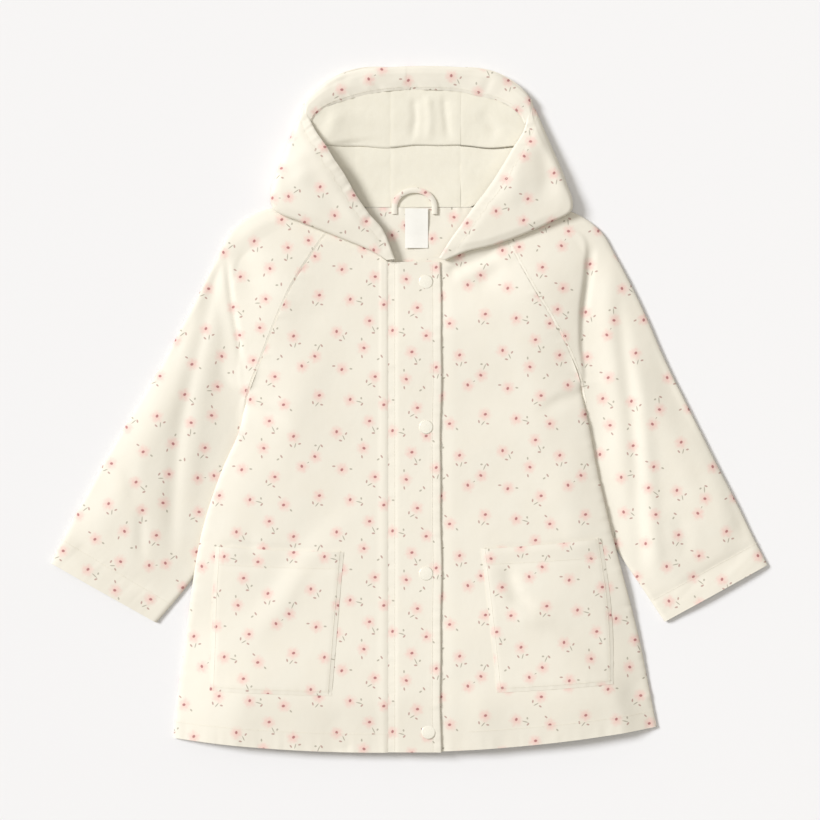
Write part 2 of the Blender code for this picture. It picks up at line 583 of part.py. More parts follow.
def hood_row(row, folds, bow=0.0, under_rise=0.0):
    """One row of a hood side: sewn edge, under layer, fold, top layer, mouth's edge."""
    sewn, fold = (row.sewn_x, row.sewn_y), (row.fold_x, row.fold_y)
    mouth = (row.mouth_x, row.mouth_y)
    length = math.dist(sewn, fold)
    made = []
    for share in spread(5)[:-1]:
        place = share * (length - row.radius) / length
        bulge = 4.0 * bow * place * (1.0 - place)
        across_x, across_y = (fold[1] - sewn[1]) / length, (sewn[0] - fold[0]) / length
        if across_y < 0.0:
            across_x, across_y = -across_x, -across_y
        height = max(mix(row.sewn_z, row.low, share * share), under_rise)
        made.append((mix(sewn[0], fold[0], place) + across_x * bulge,
                     mix(sewn[1], fold[1], place) + across_y * bulge, height))
    made += fold_over(sewn, fold, mouth, max(row.low, under_rise), row.high, row.radius)
    top_length = math.dist(fold, mouth)
    start = min(row.radius / top_length, 0.6)
    for share in spread(4)[1:]:
        place = mix(start, 1.0, share)
        x, y = mix(fold[0], mouth[0], place), mix(fold[1], mouth[1], place)
        made.append((x, y, mix(row.high, row.mouth_z, smooth(place)) + relief(folds, x, y)))
    return made


def make_hood_side(name, side, table, rim, folds):
    """A hood side: flat under the hood, folded over, and open at the mouth."""
    rows = [hood_row(row, folds) for row in table]
    for step in RIM_TURN:
        slide = step.inset * 0.55
        row = HoodRow(rim.centre_x, rim.centre_y - step.inset, 0.0,
                      rim.fold_x + side * slide * 0.3, rim.fold_y - slide, 0.0, RIM_HIGH,
                      RIM_RADIUS, rim.mouth_x, rim.mouth_y - slide * 0.5, RIM_HIGH + 0.6)
        rows.append(hood_row(row, folds, bow=rim.bow - step.inset * 0.3, under_rise=step.rise))
    sheet(name, rows, CREAM, side=side)


def make_hood_centre():
    """The centre strip of the hood, from the neck seam to the rim."""
    first_x, last_x = RIGHT_RIM.centre_x + SEAM, LEFT_RIM.centre_x - SEAM
    neck_y, rim_y = RIGHT_HOOD[9].sewn_y, RIGHT_RIM.centre_y
    heights = [(mix(neck_y, rim_y - RIM_TURN[0].inset, share), 0.0) for share in spread(4)[:-1]]
    heights += [(rim_y - step.inset, step.rise) for step in RIM_TURN]
    rows = []
    for y, z in heights:
        row = []
        for share in spread(4):
            up = (y - neck_y) / (rim_y - neck_y)
            crown = 4.0 * (CROWN_Y - rim_y) * share * (1.0 - share) * up
            row.append((mix(first_x, last_x, share), y + crown, z))
        rows.append(row)
    sheet("hood_centre", rows, CREAM, side=1)


def make_hood_facing(name, table):
    """A strip of the print cloth turned in all along the rim."""
    rows = []
    for step in FACING_STEPS:
        rows.append([(mix(row.rim_x, row.inner_x, step.share),
                      mix(row.rim_y, row.inner_y, step.share), step.height) for row in table])
    sheet(name, rows, CREAM, side=1)


def make_lining(name, facing_rows, right_seam, left_seam):
    """One panel of the plain lining, from the facing's points down to the neck seam.

    A seam's x is None where the panel runs out to the hood's fold instead.
    """
    first, last = facing_rows[0].inner_x, facing_rows[-1].inner_x
    rows = []
    for step in LINING_STEPS:
        if step.y is None:
            row = [(place.inner_x, place.inner_y - LINING_GAP) for place in facing_rows]
        else:
            low = look_up(LINING_EDGES, "y", step.y, "right_x") if right_seam is None else first
            high = look_up(LINING_EDGES, "y", step.y, "left_x") if left_seam is None else last
            row = [(mix(low, high, share), step.y) for share in spread(len(facing_rows) - 1)]
        start, end = row[0][0] + SEAM / 2, row[-1][0] - SEAM / 2
        row[0], row[-1] = (start, row[0][1]), (end, row[-1][1])
        rows.append([(x, y, step.height) for x, y in row])
    sheet(name, rows, LINING_CREAM, offset=0.0, side=1, roughness=0.6)


# ---------------------------------------------------------------- neck


def make_neck():
    """The print-cloth facing inside the back neck, the hanger loop and the bare label."""
    facing_top, facing_depth, facing_height = 181.6, 62.0, 3.0
    rows = []
    for share in spread(4):
        row = []
        for across in spread(6):
            reach = mix(-50.0, -64.0, share), mix(61.0, 76.0, share)
            x = mix(reach[0], reach[1], across)
            foot = facing_top - facing_depth * (0.45 + 0.55 * math.sin(math.pi * across))
            row.append((x, mix(facing_top, foot, share), facing_height))
        rows.append(row)
    sheet("neck_facing", rows, CREAM, side=1)

    loop_x, loop_y, loop_half, loop_reach, loop_width = 5.0, 181.6, 18.0, 15.5, 5.0
    loop_leg, loop_height = 6.0, 5.1
    turns = [(math.pi * share, 0.0) for share in spread(12)]
    loop_rows = []
    for angle, leg in [(0.0, loop_leg)] + turns + [(math.pi, loop_leg)]:
        loop_rows.append([
            (loop_x - math.cos(angle) * (loop_half + shift),
             loop_y - leg + math.sin(angle) * (loop_reach + shift), loop_height)
            for shift in (-loop_width / 2, loop_width / 2)
        ])
    sheet("hanger_loop", loop_rows, CREAM, wall=1.6, side=1)

    label_low, label_high = (-3.6, 145.0), (17.1, 180.6)
    label_rows = [
        [(mix(label_low[0], label_high[0], across), mix(label_high[1], label_low[1], down), 4.1)
         for across in spread(2)]
        for down in spread(3)
    ]
    sheet("label", label_rows, WHITE, wall=0.8, side=1)


def make_snaps():
    """Four low domed caps on the flap, each turned from its half outline."""
    outline = [(0.0, 1.0), (0.55, 0.94), (0.85, 0.72), (1.0, 0.35), (1.0, 0.0), (0.0, 0.0)]
    for number, (x, y) in enumerate(SNAP_PLACES, start=1):
        name = f"snap_{number}"
        mesh = bpy.data.meshes.new(name)
        points = [(r * SNAP_RADIUS * MM, 0.0, h * SNAP_HEIGHT * MM) for r, h in outline]
        mesh.from_pydata(points, [(i, i + 1) for i in range(len(points) - 1)], [])
        mesh.materials.append(material(name, CREAM, 0.3))
        cap = bpy.data.objects.new(name, mesh)
        PARKA.objects.link(cap)
        seat = BODY_TOP + FLAP_RISE + relief(BODY_FOLDS, x, y) + SEAM
        cap.location = (x * MM, y * MM, seat * MM)
        turn = cap.modifiers.new("Turn", "SCREW")
        turn.steps = 20
        turn.render_steps = 20
        turn.use_merge_vertices = True
        turn.merge_threshold = 0.00001


# ---------------------------------------------------------------- build

for old in list(bpy.data.objects):
    bpy.data.objects.remove(old, do_unlink=True)
PARKA = bpy.data.collections.new("parka")
bpy.context.scene.collection.children.link(PARKA)

make_back()
make_fronts()
make_sleeve("sleeve_right", -1, RIGHT_ARM, RIGHT_CAP, RIGHT_ROWS, RIGHT_ARM_FOLDS)
make_sleeve("sleeve_left", 1, LEFT_ARM, LEFT_CAP, LEFT_ROWS, LEFT_ARM_FOLDS)
make_hood_side("hood_side_right", -1, RIGHT_HOOD, RIGHT_RIM, RIGHT_HOOD_FOLDS)
make_hood_side("hood_side_left", 1, LEFT_HOOD, LEFT_RIM, LEFT_HOOD_FOLDS)
make_hood_centre()
make_hood_facing("hood_facing_right", RIGHT_FACING)
make_hood_facing("hood_facing_left", LEFT_FACING)
make_lining("hood_lining_right", RIGHT_FACING[:4], None, LINING_SEAMS[0])
make_lining("hood_lining_centre", [RIGHT_FACING[3]] + LEFT_FACING[:3], *LINING_SEAMS)
make_lining("hood_lining_left", LEFT_FACING[2:], LINING_SEAMS[1], None)
make_neck()
make_snaps()
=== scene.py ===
"""A toddler's hooded parka of thin coated cotton with a small flower print, laid on its back.

Metres, +Z up.  X runs across the chest, Y from the hem to the hood, Z up from the table.
Right and left are the wearer's, so the right front lies at -X.  The tables are in
millimetres on the table top, and MM turns them into metres when a mesh is made.
"""
import math
from collections import namedtuple

import bpy
import numpy as np
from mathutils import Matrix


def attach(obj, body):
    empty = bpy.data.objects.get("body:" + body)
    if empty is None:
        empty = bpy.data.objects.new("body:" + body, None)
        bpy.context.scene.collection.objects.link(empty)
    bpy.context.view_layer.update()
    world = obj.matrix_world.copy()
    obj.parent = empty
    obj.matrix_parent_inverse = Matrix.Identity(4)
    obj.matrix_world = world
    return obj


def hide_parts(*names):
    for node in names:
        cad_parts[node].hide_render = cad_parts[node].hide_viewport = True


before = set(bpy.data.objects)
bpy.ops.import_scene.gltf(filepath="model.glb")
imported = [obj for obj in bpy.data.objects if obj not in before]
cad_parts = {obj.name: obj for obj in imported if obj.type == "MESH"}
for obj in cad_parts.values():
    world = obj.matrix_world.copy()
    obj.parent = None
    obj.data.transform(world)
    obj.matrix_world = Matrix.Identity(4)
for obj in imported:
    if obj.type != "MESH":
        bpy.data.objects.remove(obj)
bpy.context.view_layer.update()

# ======== the printed cloth
# Thin cotton with a soft, faintly glossy coating, printed all over with small loose
# blossoms, each with two leaves or a stem and a bud, and with sprigs that stand alone.
# The print runs with the grain of each cut piece, through that piece's UV map.
MM = 0.001
REPEAT = 90.0          # the print's repeat, mm, and the length that one unit of UV stands for
LONE_BLOSSOM, BLOSSOM, BLOSSOM_WITH_BUD, SPRIG = 0.0, 1.0, 2.0, 3.0
Motif = namedtuple("Motif", "x y turn kind")
PRINT_CHART = [Motif(*row) for row in (
    (9, 12, 15, BLOSSOM), (37, 8, 330, BLOSSOM_WITH_BUD), (68, 4, 200, LONE_BLOSSOM),
    (59, 29, 35, BLOSSOM), (30, 36, 160, LONE_BLOSSOM), (84, 38, 285, BLOSSOM_WITH_BUD),
    (6, 47, 250, BLOSSOM_WITH_BUD), (49, 55, 60, LONE_BLOSSOM), (76, 65, 350, BLOSSOM),
    (25, 69, 310, BLOSSOM), (54, 79, 20, BLOSSOM_WITH_BUD), (64, 46, 120, SPRIG),
)]


def shade(red, green, blue):
    """A colour given as it is seen on a screen, 0 to 255, as the linear light that it is."""
    made = []
    for level in (red, green, blue):
        level /= 255.0
        made.append(level / 12.92 if level <= 0.04045 else ((level + 0.055) / 1.055) ** 2.4)
    return (*made, 1.0)


class Finish:
    """Short words for putting together one material's nodes."""

    def __init__(self, name, roughness):
        self.material = bpy.data.materials.new(name)
        self.material.use_nodes = True
        self.tree = self.material.node_tree
        self.shader = self.tree.nodes["Principled BSDF"]
        self.shader.inputs["Roughness"].default_value = roughness

    def node(self, kind, inputs=(), **settings):
        made = self.tree.nodes.new(kind)
        for key, value in settings.items():
            setattr(made, key, value)
        for key, value in dict(inputs).items():
            self.put(made, key, value)
        return made

    def put(self, node, key, value):
        """Links an output to an input, or sets the input to a plain value."""
        if isinstance(value, bpy.types.NodeSocket):
            self.tree.links.new(value, node.inputs[key])
        else:
            node.inputs[key].default_value = value

    def math(self, operation, a, b=0.0):
        return self.node("ShaderNodeMath", {0: a, 1: b, 2: 0.5}, operation=operation).outputs[0]

    def ramp(self, value, low, high, to_low=0.0, to_high=1.0):
        """A soft step from to_low to to_high, as the value goes from low to high."""
        return self.node("ShaderNodeMapRange", {"Value": value, "From Min": low, "From Max": high,
                                                "To Min": to_low, "To Max": to_high},
                         interpolation_type="SMOOTHSTEP").outputs[0]

    def vector(self, operation, a, b=(0.0, 0.0, 0.0), wrap=(0.0, 0.0, 0.0)):
        return self.node("ShaderNodeVectorMath", {0: a, 1: b, 2: wrap},
                         operation=operation).outputs

    def grain_place(self):
        """The place on the cut cloth in mm, from the piece's UV map."""
        uv = self.node("ShaderNodeUVMap", uv_map="grain").outputs[0]
        return self.vector("MULTIPLY", uv, (REPEAT, REPEAT, REPEAT))[0]

    def object_place(self):
        return self.node("ShaderNodeTexCoord").outputs["Object"]

    def mix(self, share, a, b):
        return self.node("ShaderNodeMix", {0: share, 6: a, 7: b}, data_type="RGBA").outputs[2]

    def mix_vector(self, share, a, b):
        return self.node("ShaderNodeMix", {0: share, 4: a, 5: b}, data_type="VECTOR").outputs[1]

    def sets(self, **values):
        """Plain values of the shader's inputs, with _ for the spaces in their names."""
        for key, value in values.items():
            self.put(self.shader, key.replace("_", " "), value)

    def noise(self, place, scale, detail=2.0):
        return self.node("ShaderNodeTexNoise", {"Vector": place, "Scale": scale,
                                                "Detail": detail}).outputs["Fac"]

    def bump(self, height, distance, strength, below=None):
        made = self.node("ShaderNodeBump", {"Height": height, "Distance": distance,
                                            "Strength": strength})
        if below is not None:
            self.put(made, "Normal", below)
        return made.outputs[0]


def weave(cloth, place, thread_mm):
    """Height of a plain weave: warp and weft threads, from a place on the cloth in mm."""
    turns = math.pi / thread_mm
    split = cloth.node("ShaderNodeSeparateXYZ", {0: place})
    warp = cloth.math("SINE", cloth.math("MULTIPLY", split.outputs[0], turns))
    weft = cloth.math("SINE", cloth.math("MULTIPLY", split.outputs[1], turns))
    return cloth.math("MULTIPLY", warp, weft)


def nearest_motif(cloth, place):
    """The place measured from the nearest motif's middle, and that motif's turn and kind."""
    half = (REPEAT / 2,) * 3
    best_place, best_look, best_away = (0.0, 0.0, 0.0), (0.0, 0.0, 0.0), 1000.0
    for motif in PRINT_CHART:
        offset = cloth.vector("SUBTRACT", place, (motif.x, motif.y, 0.0))[0]
        nearby = cloth.vector("WRAP", offset, half, tuple(-size for size in half))[0]
        away = cloth.vector("LENGTH", nearby)[1]
        look = (math.radians(motif.turn), motif.kind, motif.x / REPEAT)
        is_nearer = cloth.math("LESS_THAN", away, best_away)
        best_place = cloth.mix_vector(is_nearer, best_place, nearby)
        best_look = cloth.mix_vector(is_nearer, best_look, look)
        best_away = cloth.math("MINIMUM", away, best_away)
    return best_place, best_look


def brush_mark(cloth, place, x, y, turn, length, width):
    """How much of a short soft brush mark covers this place, from 0 to 1."""
    own = cloth.node("ShaderNodeMapping", {
        "Vector": place, "Location": (x, y, 0.0), "Rotation": (0.0, 0.0, math.radians(turn)),
        "Scale": (length / 2, width / 2, 1.0)}, vector_type="TEXTURE").outputs[0]
    return cloth.ramp(cloth.vector("LENGTH", own)[1], 1.3, 0.7)


def printed_cotton():
    """The coat's own cloth: cream, with the small flower print and a soft coating."""
    cloth = Finish("printed_coated_cotton", 0.60)
    place = cloth.grain_place()
    flat, look = nearest_motif(cloth, place)
    look_parts = cloth.node("ShaderNodeSeparateXYZ", {0: look})
    turned = cloth.node("ShaderNodeVectorRotate", {"Vector": flat, "Angle": look_parts.outputs[0]},
                        rotation_type="Z_AXIS").outputs[0]
    kind = look_parts.outputs[1]
    is_sprig = cloth.math("GREATER_THAN", kind, SPRIG - 0.5)
    is_lone = cloth.math("LESS_THAN", kind, LONE_BLOSSOM + 0.5)
    has_bud = cloth.math("COMPARE", kind, BLOSSOM_WITH_BUD)
    has_leaves = cloth.math("COMPARE", kind, BLOSSOM)

    # the blossom: five loose petals that fade out, round a small dark eye
    local = cloth.node("ShaderNodeSeparateXYZ", {0: turned})
    angle = cloth.math("ARCTAN2", local.outputs[1], local.outputs[0])
    lobes = cloth.math("COSINE", cloth.math("MULTIPLY", angle, 5.0))
    ragged = cloth.noise(place, 0.42, 3.0)
    away = cloth.vector("LENGTH", turned)[1]
    reach = cloth.math("ADD", away, cloth.math("MULTIPLY", lobes, -0.35))
    reach = cloth.math("ADD", reach, cloth.math("MULTIPLY", ragged, 5.5))
    petals = cloth.ramp(reach, 10.4, 3.4)
    is_blossom = cloth.math("SUBTRACT", 1.0, is_sprig)
    petals = cloth.math("MULTIPLY", petals, is_blossom)
    eye = brush_mark(cloth, turned, 0.5, 0.4, 35.0, 2.9, 2.3)
    eye = cloth.math("MULTIPLY", eye, is_blossom)

    # leaves and stems: dashes of grey green and of dull rose brown
    green, rose = [], []
    for *stroke, share, colour in (     # a stroke is x, y, turn, length and width
        (-3.4, -7.4, -62.0, 3.0, 1.5, has_leaves, rose),
        (0.5, -7.9, 64.0, 4.6, 1.0, has_leaves, green),
        (4.6, -7.2, 4.0, 2.7, 1.5, has_leaves, rose),
        (6.4, -5.4, -44.0, 5.6, 1.0, has_bud, green),
        (7.4, -8.6, 20.0, 3.0, 1.6, has_bud, rose),
        (9.6, -3.6, 70.0, 2.2, 1.6, has_bud, green),
        (-7.4, 2.6, -28.0, 2.6, 1.5, is_lone, green),
        (6.2, -5.0, -20.0, 3.0, 1.4, is_lone, rose),
        (-1.9, 0.6, 62.0, 3.2, 1.5, is_sprig, rose),
        (1.9, -0.8, -30.0, 2.6, 1.5, is_sprig, green),
    ):
        colour.append(cloth.math("MULTIPLY", brush_mark(cloth, turned, *stroke), share))
    for marks in (green, rose):
        while len(marks) > 1:
            marks.append(cloth.math("MAXIMUM", marks.pop(0), marks.pop(0)))

    dyed = cloth.mix(cloth.noise(place, 0.035, 2.0), COTTON_CREAM, COTTON_CREAM_DEEP)
    for mark, strength, colour in (
        (petals, 0.74, PETAL_PINK), (green[0], 0.62, LEAF_GREY_GREEN),
        (rose[0], 0.66, BUD_ROSE), (eye, 0.80, EYE_ROSE),
    ):
        dyed = cloth.mix(cloth.math("MULTIPLY", mark, strength), dyed, colour)

    # the coating: fine threads just felt through it, and a faint slack crinkle
    crinkle = cloth.bump(cloth.noise(place, 0.055, 3.0), 0.0010, 0.35)
    threads = cloth.bump(weave(cloth, place, 0.45), 0.00003, 0.30, crinkle)
    cloth.sets(Base_Color=dyed, Normal=threads, Sheen_Weight=0.06, Sheen_Roughness=0.5,
               Coat_Weight=0.03, Coat_Roughness=0.45, Specular_IOR_Level=0.25)
    return cloth.material


COTTON_CREAM = shade(230, 225, 211)
COTTON_CREAM_DEEP = shade(229, 222, 206)
PETAL_PINK = shade(233, 192, 182)
LEAF_GREY_GREEN = shade(140, 132, 112)
BUD_ROSE = shade(160, 108, 100)
EYE_ROSE = shade(158, 88, 90)
printed_cloth = printed_cotton()

# ======== the body
# Two fronts and a back, cut wide at the hem and sewn together down the sides.  The tables
# give a row for each cut across the body, from the hem up; the cloth between the rows is
# drawn through them smoothly.  The fronts stand a little full in the middle.
RAGLAN_TOP = 6.6
Row = namedtuple("Row", "centre_y edge_x edge_y top lift tucked",
                 defaults=(RAGLAN_TOP, 0.0, 0.0))
RIGHT_ROWS = [Row(*row) for row in (
    (-308.3, -212.4, -296.1, 3.8), (-256.1, -207.9, -251.1, 3.9), (-212.4, -201.6, -207.9, 4.6),
    (-171.9, -196.2, -167.4, 7.2, 3.6, 0), (-130, -189, -122.4, 7.5, 3.9, 14),
    (-98.1, -181.8, -93.6, 7.2, 3.6, 20.5), (-62.1, -168.3, -54.9, 7.2, 3.6, 13.5),
    (-27.9, -153, -19.8, 7.2, 3.6, 0), (-2, -146, 10, 6.4), (5.4, -144, 15.3),
    (33.3, -132.3, 45.9), (62.1, -118.8, 80.1), (87.3, -104.4, 111.6), (107.1, -91.8, 132.3),
    (121.5, -80.1, 149.4), (132.3, -65.7, 168.3),
)]
LEFT_ROWS = [Row(*row) for row in (
    (-308.3, 223.2, -286.2, 3.8), (-257.4, 215.1, -243.9, 3.9), (-212.4, 207.9, -207.9, 4.4),
    (-170.1, 198, -169.2, 5.8, 2.4, 0), (-126.4, 183.6, -115.2, 7.2, 3.6, 4),
    (-93.6, 177.3, -89.1, 7.2, 3.6, 8.5), (-58.5, 169.2, -53.1, 7.2, 3.6, 13.5),
    (-24.3, 162, -14.4, 7.2, 3.6, 0), (4, 155.2, 18.5, 6.4), (9.9, 153.9, 24.3),
    (36.9, 143.1, 53.1), (62.1, 127.8, 81.9), (84.6, 113.4, 105.3), (105.3, 100.8, 127.8),
    (120.6, 89.1, 149.4), (132.3, 74.7, 168.3),
)]
ARMPIT, UNDERARM, NECK_CURVE = 8, 9, 13    # rows where something begins
BODY_TOP = 6.0
SEAM_GAP, ARMPIT_GAP = 0.3, 1.4    # between the front and the back at the side seam
EDGE_RADIUS = 6.0
EDGE_FADE = 34.0
FULLNESS = 5.6         # how far the fronts stand full in the middle
FULL_REACH = 56.0      # how far in from the body's outline they take to reach that
HEM_REACH = 84.0       # the same at the hem
HOOD_REACH = 75.0      # and how far below the hood
HEM_FLARE, HEM_SPAN = 4.6, 120.0   # the flared hem's wider swell
HEM_Y, HOOD_LOW_Y = -308.0, 132.0  # the body's lowest and highest places down its middle
# The body's outline, as it shows through sleeve and front: y, then x on the right and left.
Outline = namedtuple("Outline", "y right_x left_x")
OUTLINE = [Outline(*row) for row in (
    (-308, -213.5, 224), (-250, -208, 216), (-208, -202, 208), (-167, -196, 198),
    (-118, -188.5, 184), (-90, -181, 177), (-54, -168, 169), (-17, -153, 162), (12, -148, 158),
    (46, -153, 157), (80, -159, 157), (112, -160, 160), (135, -152, 160), (152, -134, 150),
    (170, -105, 122), (190, -60, 76),
)]
# A soft fold: the points that it runs through, its height (a trough is below zero), how far
# it spreads to the left and right of the way it runs, and how much of each end dies away.
Crease = namedtuple("Crease", "points height left right fade_in fade_out")
BODY_CREASES = [Crease(*row) for row in (
    ([(-23, -41), (-53, -73), (-86, -106), (-111, -135), (-133, -166), (-171, -202)],
     -1.3, 14, 19, 0.5, 0.22),
    ([(-70, -110), (-97, -146), (-118, -182), (-150, -214)], 0.9, 9, 12, 0.4, 0.4),
    ([(84, -134), (90, -150), (97, -168), (117, -180)], -1.9, 7, 8, 0.35, 0.4),
    ([(88, -176), (108, -189), (136, -192)], 1.2, 8, 8, 0.4, 0.5),
    ([(118, -172), (160, -208), (188, -238), (217, -262)], -1.5, 20, 15, 0.3, 0.15),
    ([(120, -40), (142, -88), (165, -150)], 1.3, 17, 13, 0.4, 0.4),
    ([(-60, 70), (-95, 20), (-120, -50)], 1.2, 20, 24, 0.4, 0.4),
    ([(32, 121), (50, 130), (67, 137), (84, 146)], -1.7, 4, 6, 0.15, 0.3),
    ([(37, 112), (55, 122), (74, 129), (96, 134)], 0.9, 6, 7, 0.2, 0.4),
    ([(58, 104), (66, 113), (76, 124), (84, 138)], -1.2, 8, 9, 0.4, 0.3),
    ([(60, 60), (98, 20), (128, -30)], -0.9, 16, 20, 0.4, 0.4),
    ([(-140, -225), (-152, -262), (-158, -306)], 1, 15, 18, 0.5, 0.05),
    ([(60, -235), (66, -270), (64, -309)], 0.9, 16, 13, 0.5, 0.05),
    ([(-60, -262), (-66, -285), (-62, -309)], -0.8, 14, 16, 0.5, 0.05),
    ([(176, -230), (186, -262), (196, -300)], 1.1, 11, 13, 0.5, 0.05),
    ([(-150, 4), (-128, -2), (-104, -14)], -1.1, 5, 8, 0.15, 0.5),
    ([(158, 14), (136, 8), (110, -8)], -1.2, 8, 5, 0.15, 0.5),
    ([(-118, 96), (-92, 84), (-62, 82)], -0.7, 9, 10, 0.4, 0.5),
    ([(-152, -106), (-140, -128), (-146, -152)], -0.8, 8, 10, 0.4, 0.4),
    ([(-172, -120.5), (-118, -124.5), (-62, -126.5)], -0.5, 2.3, 2.3, 0.1, 0.35),
    ([(70, -124.5), (122, -122), (176, -115.5)], -0.4, 2.3, 2.3, 0.2, 0.2),
)]


def mix(a, b, share):
    """The value that lies this share of the way from a to b."""
    return a + (b - a) * share


def smooth(value):
    """An S-shaped ramp from 0 to 1."""
    value = np.clip(value, 0.0, 1.0)
    return value * value * (3.0 - 2.0 * value)


def rounded(value):
    """A ramp from 0 to 1 that is steepest where it starts, as a full cloth's side is."""
    return np.sin(np.clip(value, 0.0, 1.0) * math.pi / 2)


def bell(distance, width):
    """1 at no distance, and dying away on both sides."""
    return np.exp(-((distance / width) ** 2))


def points_of(x, y, z):
    """Points from their three coordinates, any of which may be shared."""
    return np.stack(np.broadcast_arrays(x, y, z), axis=-1)


def draw_through(rows, spacing):
    """Rows of points in mm, drawn through by smooth curves and read again at this spacing."""
    rows = np.array(rows, float)
    steps = np.linalg.norm(np.diff(rows, axis=0), axis=-1)
    steps = steps.mean(axis=1) if steps.ndim > 1 else steps
    keys = np.concatenate([[0.0], np.cumsum(steps)])
    wanted = np.linspace(0.0, keys[-1], int(math.ceil(keys[-1] / spacing)) + 1)
    slopes = np.gradient(rows, keys, axis=0)
    low = np.clip(np.searchsorted(keys, wanted, side="right") - 1, 0, len(keys) - 2)
    shape = (-1,) + (1,) * (rows.ndim - 1)
    span = (keys[low + 1] - keys[low]).reshape(shape)
    t = (wanted - keys[low]).reshape(shape) / span
    return ((2 * t ** 3 - 3 * t ** 2 + 1) * rows[low] + (3 * t ** 2 - 2 * t ** 3) * rows[low + 1]
            + span * ((t ** 3 - 2 * t ** 2 + t) * slopes[low]
                      + (t ** 3 - t ** 2) * slopes[low + 1]))


def creased(x, y, creases):
    """What the soft folds add to the cloth's height."""
    total = np.zeros_like(x)
    for crease in creases:
        path = draw_through([(float(a), float(b)) for a, b in crease.points], 12.0)
        margin = 3.0 * max(crease.left, crease.right)
        near = ((x > path[:, 0].min() - margin) & (x < path[:, 0].max() + margin)
                & (y > path[:, 1].min() - margin) & (y < path[:, 1].max() + margin))
        px, py = x[near], y[near]
        best, along, side = np.full(px.shape, 1e9), np.zeros(px.shape), np.zeros(px.shape)
        for step, ((ax, ay), (bx, by)) in enumerate(zip(path, path[1:])):
            dx, dy = bx - ax, by - ay
            share = np.clip(((px - ax) * dx + (py - ay) * dy) / (dx * dx + dy * dy), 0.0, 1.0)
            ex, ey = px - ax - share * dx, py - ay - share * dy
            away = np.hypot(ex, ey)
            closer = away < best
            best = np.where(closer, away, best)
            along = np.where(closer, (step + share) / (len(path) - 1), along)
            side = np.where(closer, dx * ey - dy * ex, side)
        width = np.where(side > 0.0, crease.left, crease.right)
        ends = smooth(along / crease.fade_in) * smooth((1.0 - along) / crease.fade_out)
        total[near] += crease.height * ends * bell(best, width)
    return total


def slack(x, y, seed, height=0.35, shortest=38.0, longest=120.0):
    """Low waves of cloth that lies a little loose."""
    chance = np.random.default_rng(seed)
    total = np.zeros_like(x)
    for _ in range(9):
        heading, phase = chance.uniform(0.0, math.tau, 2)
        length = chance.uniform(shortest, longest)
        across = x * math.cos(heading) + y * math.sin(heading)
        bend = 9.0 * np.sin((x * math.sin(heading) - y * math.cos(heading)) / 47.0 + phase)
        total += np.sin((across + bend) * math.tau / length + phase) * length / longest
    return total * height / 2.2


def pucker(away, along, seed, height=0.22, reach=6.0):
    """Small gathers beside a seam: away is the distance from it, along is along it."""
    chance = np.random.default_rng(seed)
    total = np.zeros_like(along)
    for length in (7.3, 9.7, 13.1, 19.0):
        total += np.sin(along * math.tau / length + chance.uniform(0.0, math.tau))
    return height * 0.5 * total * bell(away, reach)


def outline_distance(x, y):
    """How far in from the body's outline this place is, to the right and to the left."""
    ys = [place.y for place in OUTLINE]
    right = x - np.interp(y, ys, [place.right_x for place in OUTLINE])
    left = np.interp(y, ys, [place.left_x for place in OUTLINE]) - x
    return right, left


def full(x, y):
    """How much the body stands full here; it is held down by the hood."""
    right, left = outline_distance(x, y)
    hood_y = HOOD_LOW_Y + 0.45 * np.maximum(np.abs(x - 5.0) - 20.0, 0.0)
    held = smooth((hood_y - y) / HOOD_REACH)
    up = smooth((y - HEM_Y - 18.0) / 230.0)
    at_hem = mix(0.5, 1.0, smooth((y - HEM_Y + 8.0) / 60.0))
    reach = mix(HEM_REACH, FULL_REACH, up)
    stand = FULLNESS * rounded(right / reach) * rounded(left / reach)
    stand += (1.0 - up) * HEM_FLARE * rounded(right / HEM_SPAN) * rounded(left / HEM_SPAN)
    return stand * held * at_hem


def body_relief(x, y):
    """All that is added to the fronts' height, and to what lies on them."""
    return full(x, y) + creased(x, y, BODY_CREASES) + slack(x, y, 11)


def row_y(right, left, x, centre_y):
    """Height up the coat of a row at x: a shallow bow through its two ends and middle."""
    share = (x - right.edge_x) / (left.edge_x - right.edge_x)
    bow = centre_y - mix(right.edge_y, left.edge_y, 0.5)
    return mix(right.edge_y, left.edge_y, share) + 4.0 * bow * share * (1.0 - share)


def front_row(index, side, first_x, places):
    """Points of one row of a front, at these distances from its edge at the opening."""
    right, left = RIGHT_ROWS[index], LEFT_ROWS[index]
    row = right if side < 0 else left
    length = abs(row.edge_x - first_x)
    inwards = length - places
    z = mix(BODY_TOP, row.top, 1.0 - smooth((inwards - row.tucked) / EDGE_FADE))
    x = first_x + side * places
    if index < UNDERARM:
        gap = ARMPIT_GAP if index == ARMPIT else SEAM_GAP
        turned = np.clip(1.0 - inwards / EDGE_RADIUS, 0.0, 1.0)
        z = z - (row.top - (row.top + row.lift + gap) / 2) * (1.0 - np.sqrt(1.0 - turned ** 2))
        y = row_y(right, left, x, (right.centre_y + left.centre_y) / 2)
        y = y + (row.edge_y - row_y(right, left, row.edge_x, 0.0)) * places / length
    else:
        hollow = 1.0 + 1.3 * max(index - NECK_CURVE, 0) / 2 * (side > 0)
        y = mix(row.centre_y, row.edge_y, (places / length) ** hollow)
    return points_of(x, y, z)


def add_object(name, data):
    """A new object in the scene, at its origin."""
    made = bpy.data.objects.new(name, data)
    bpy.context.scene.collection.objects.link(made)
    return made


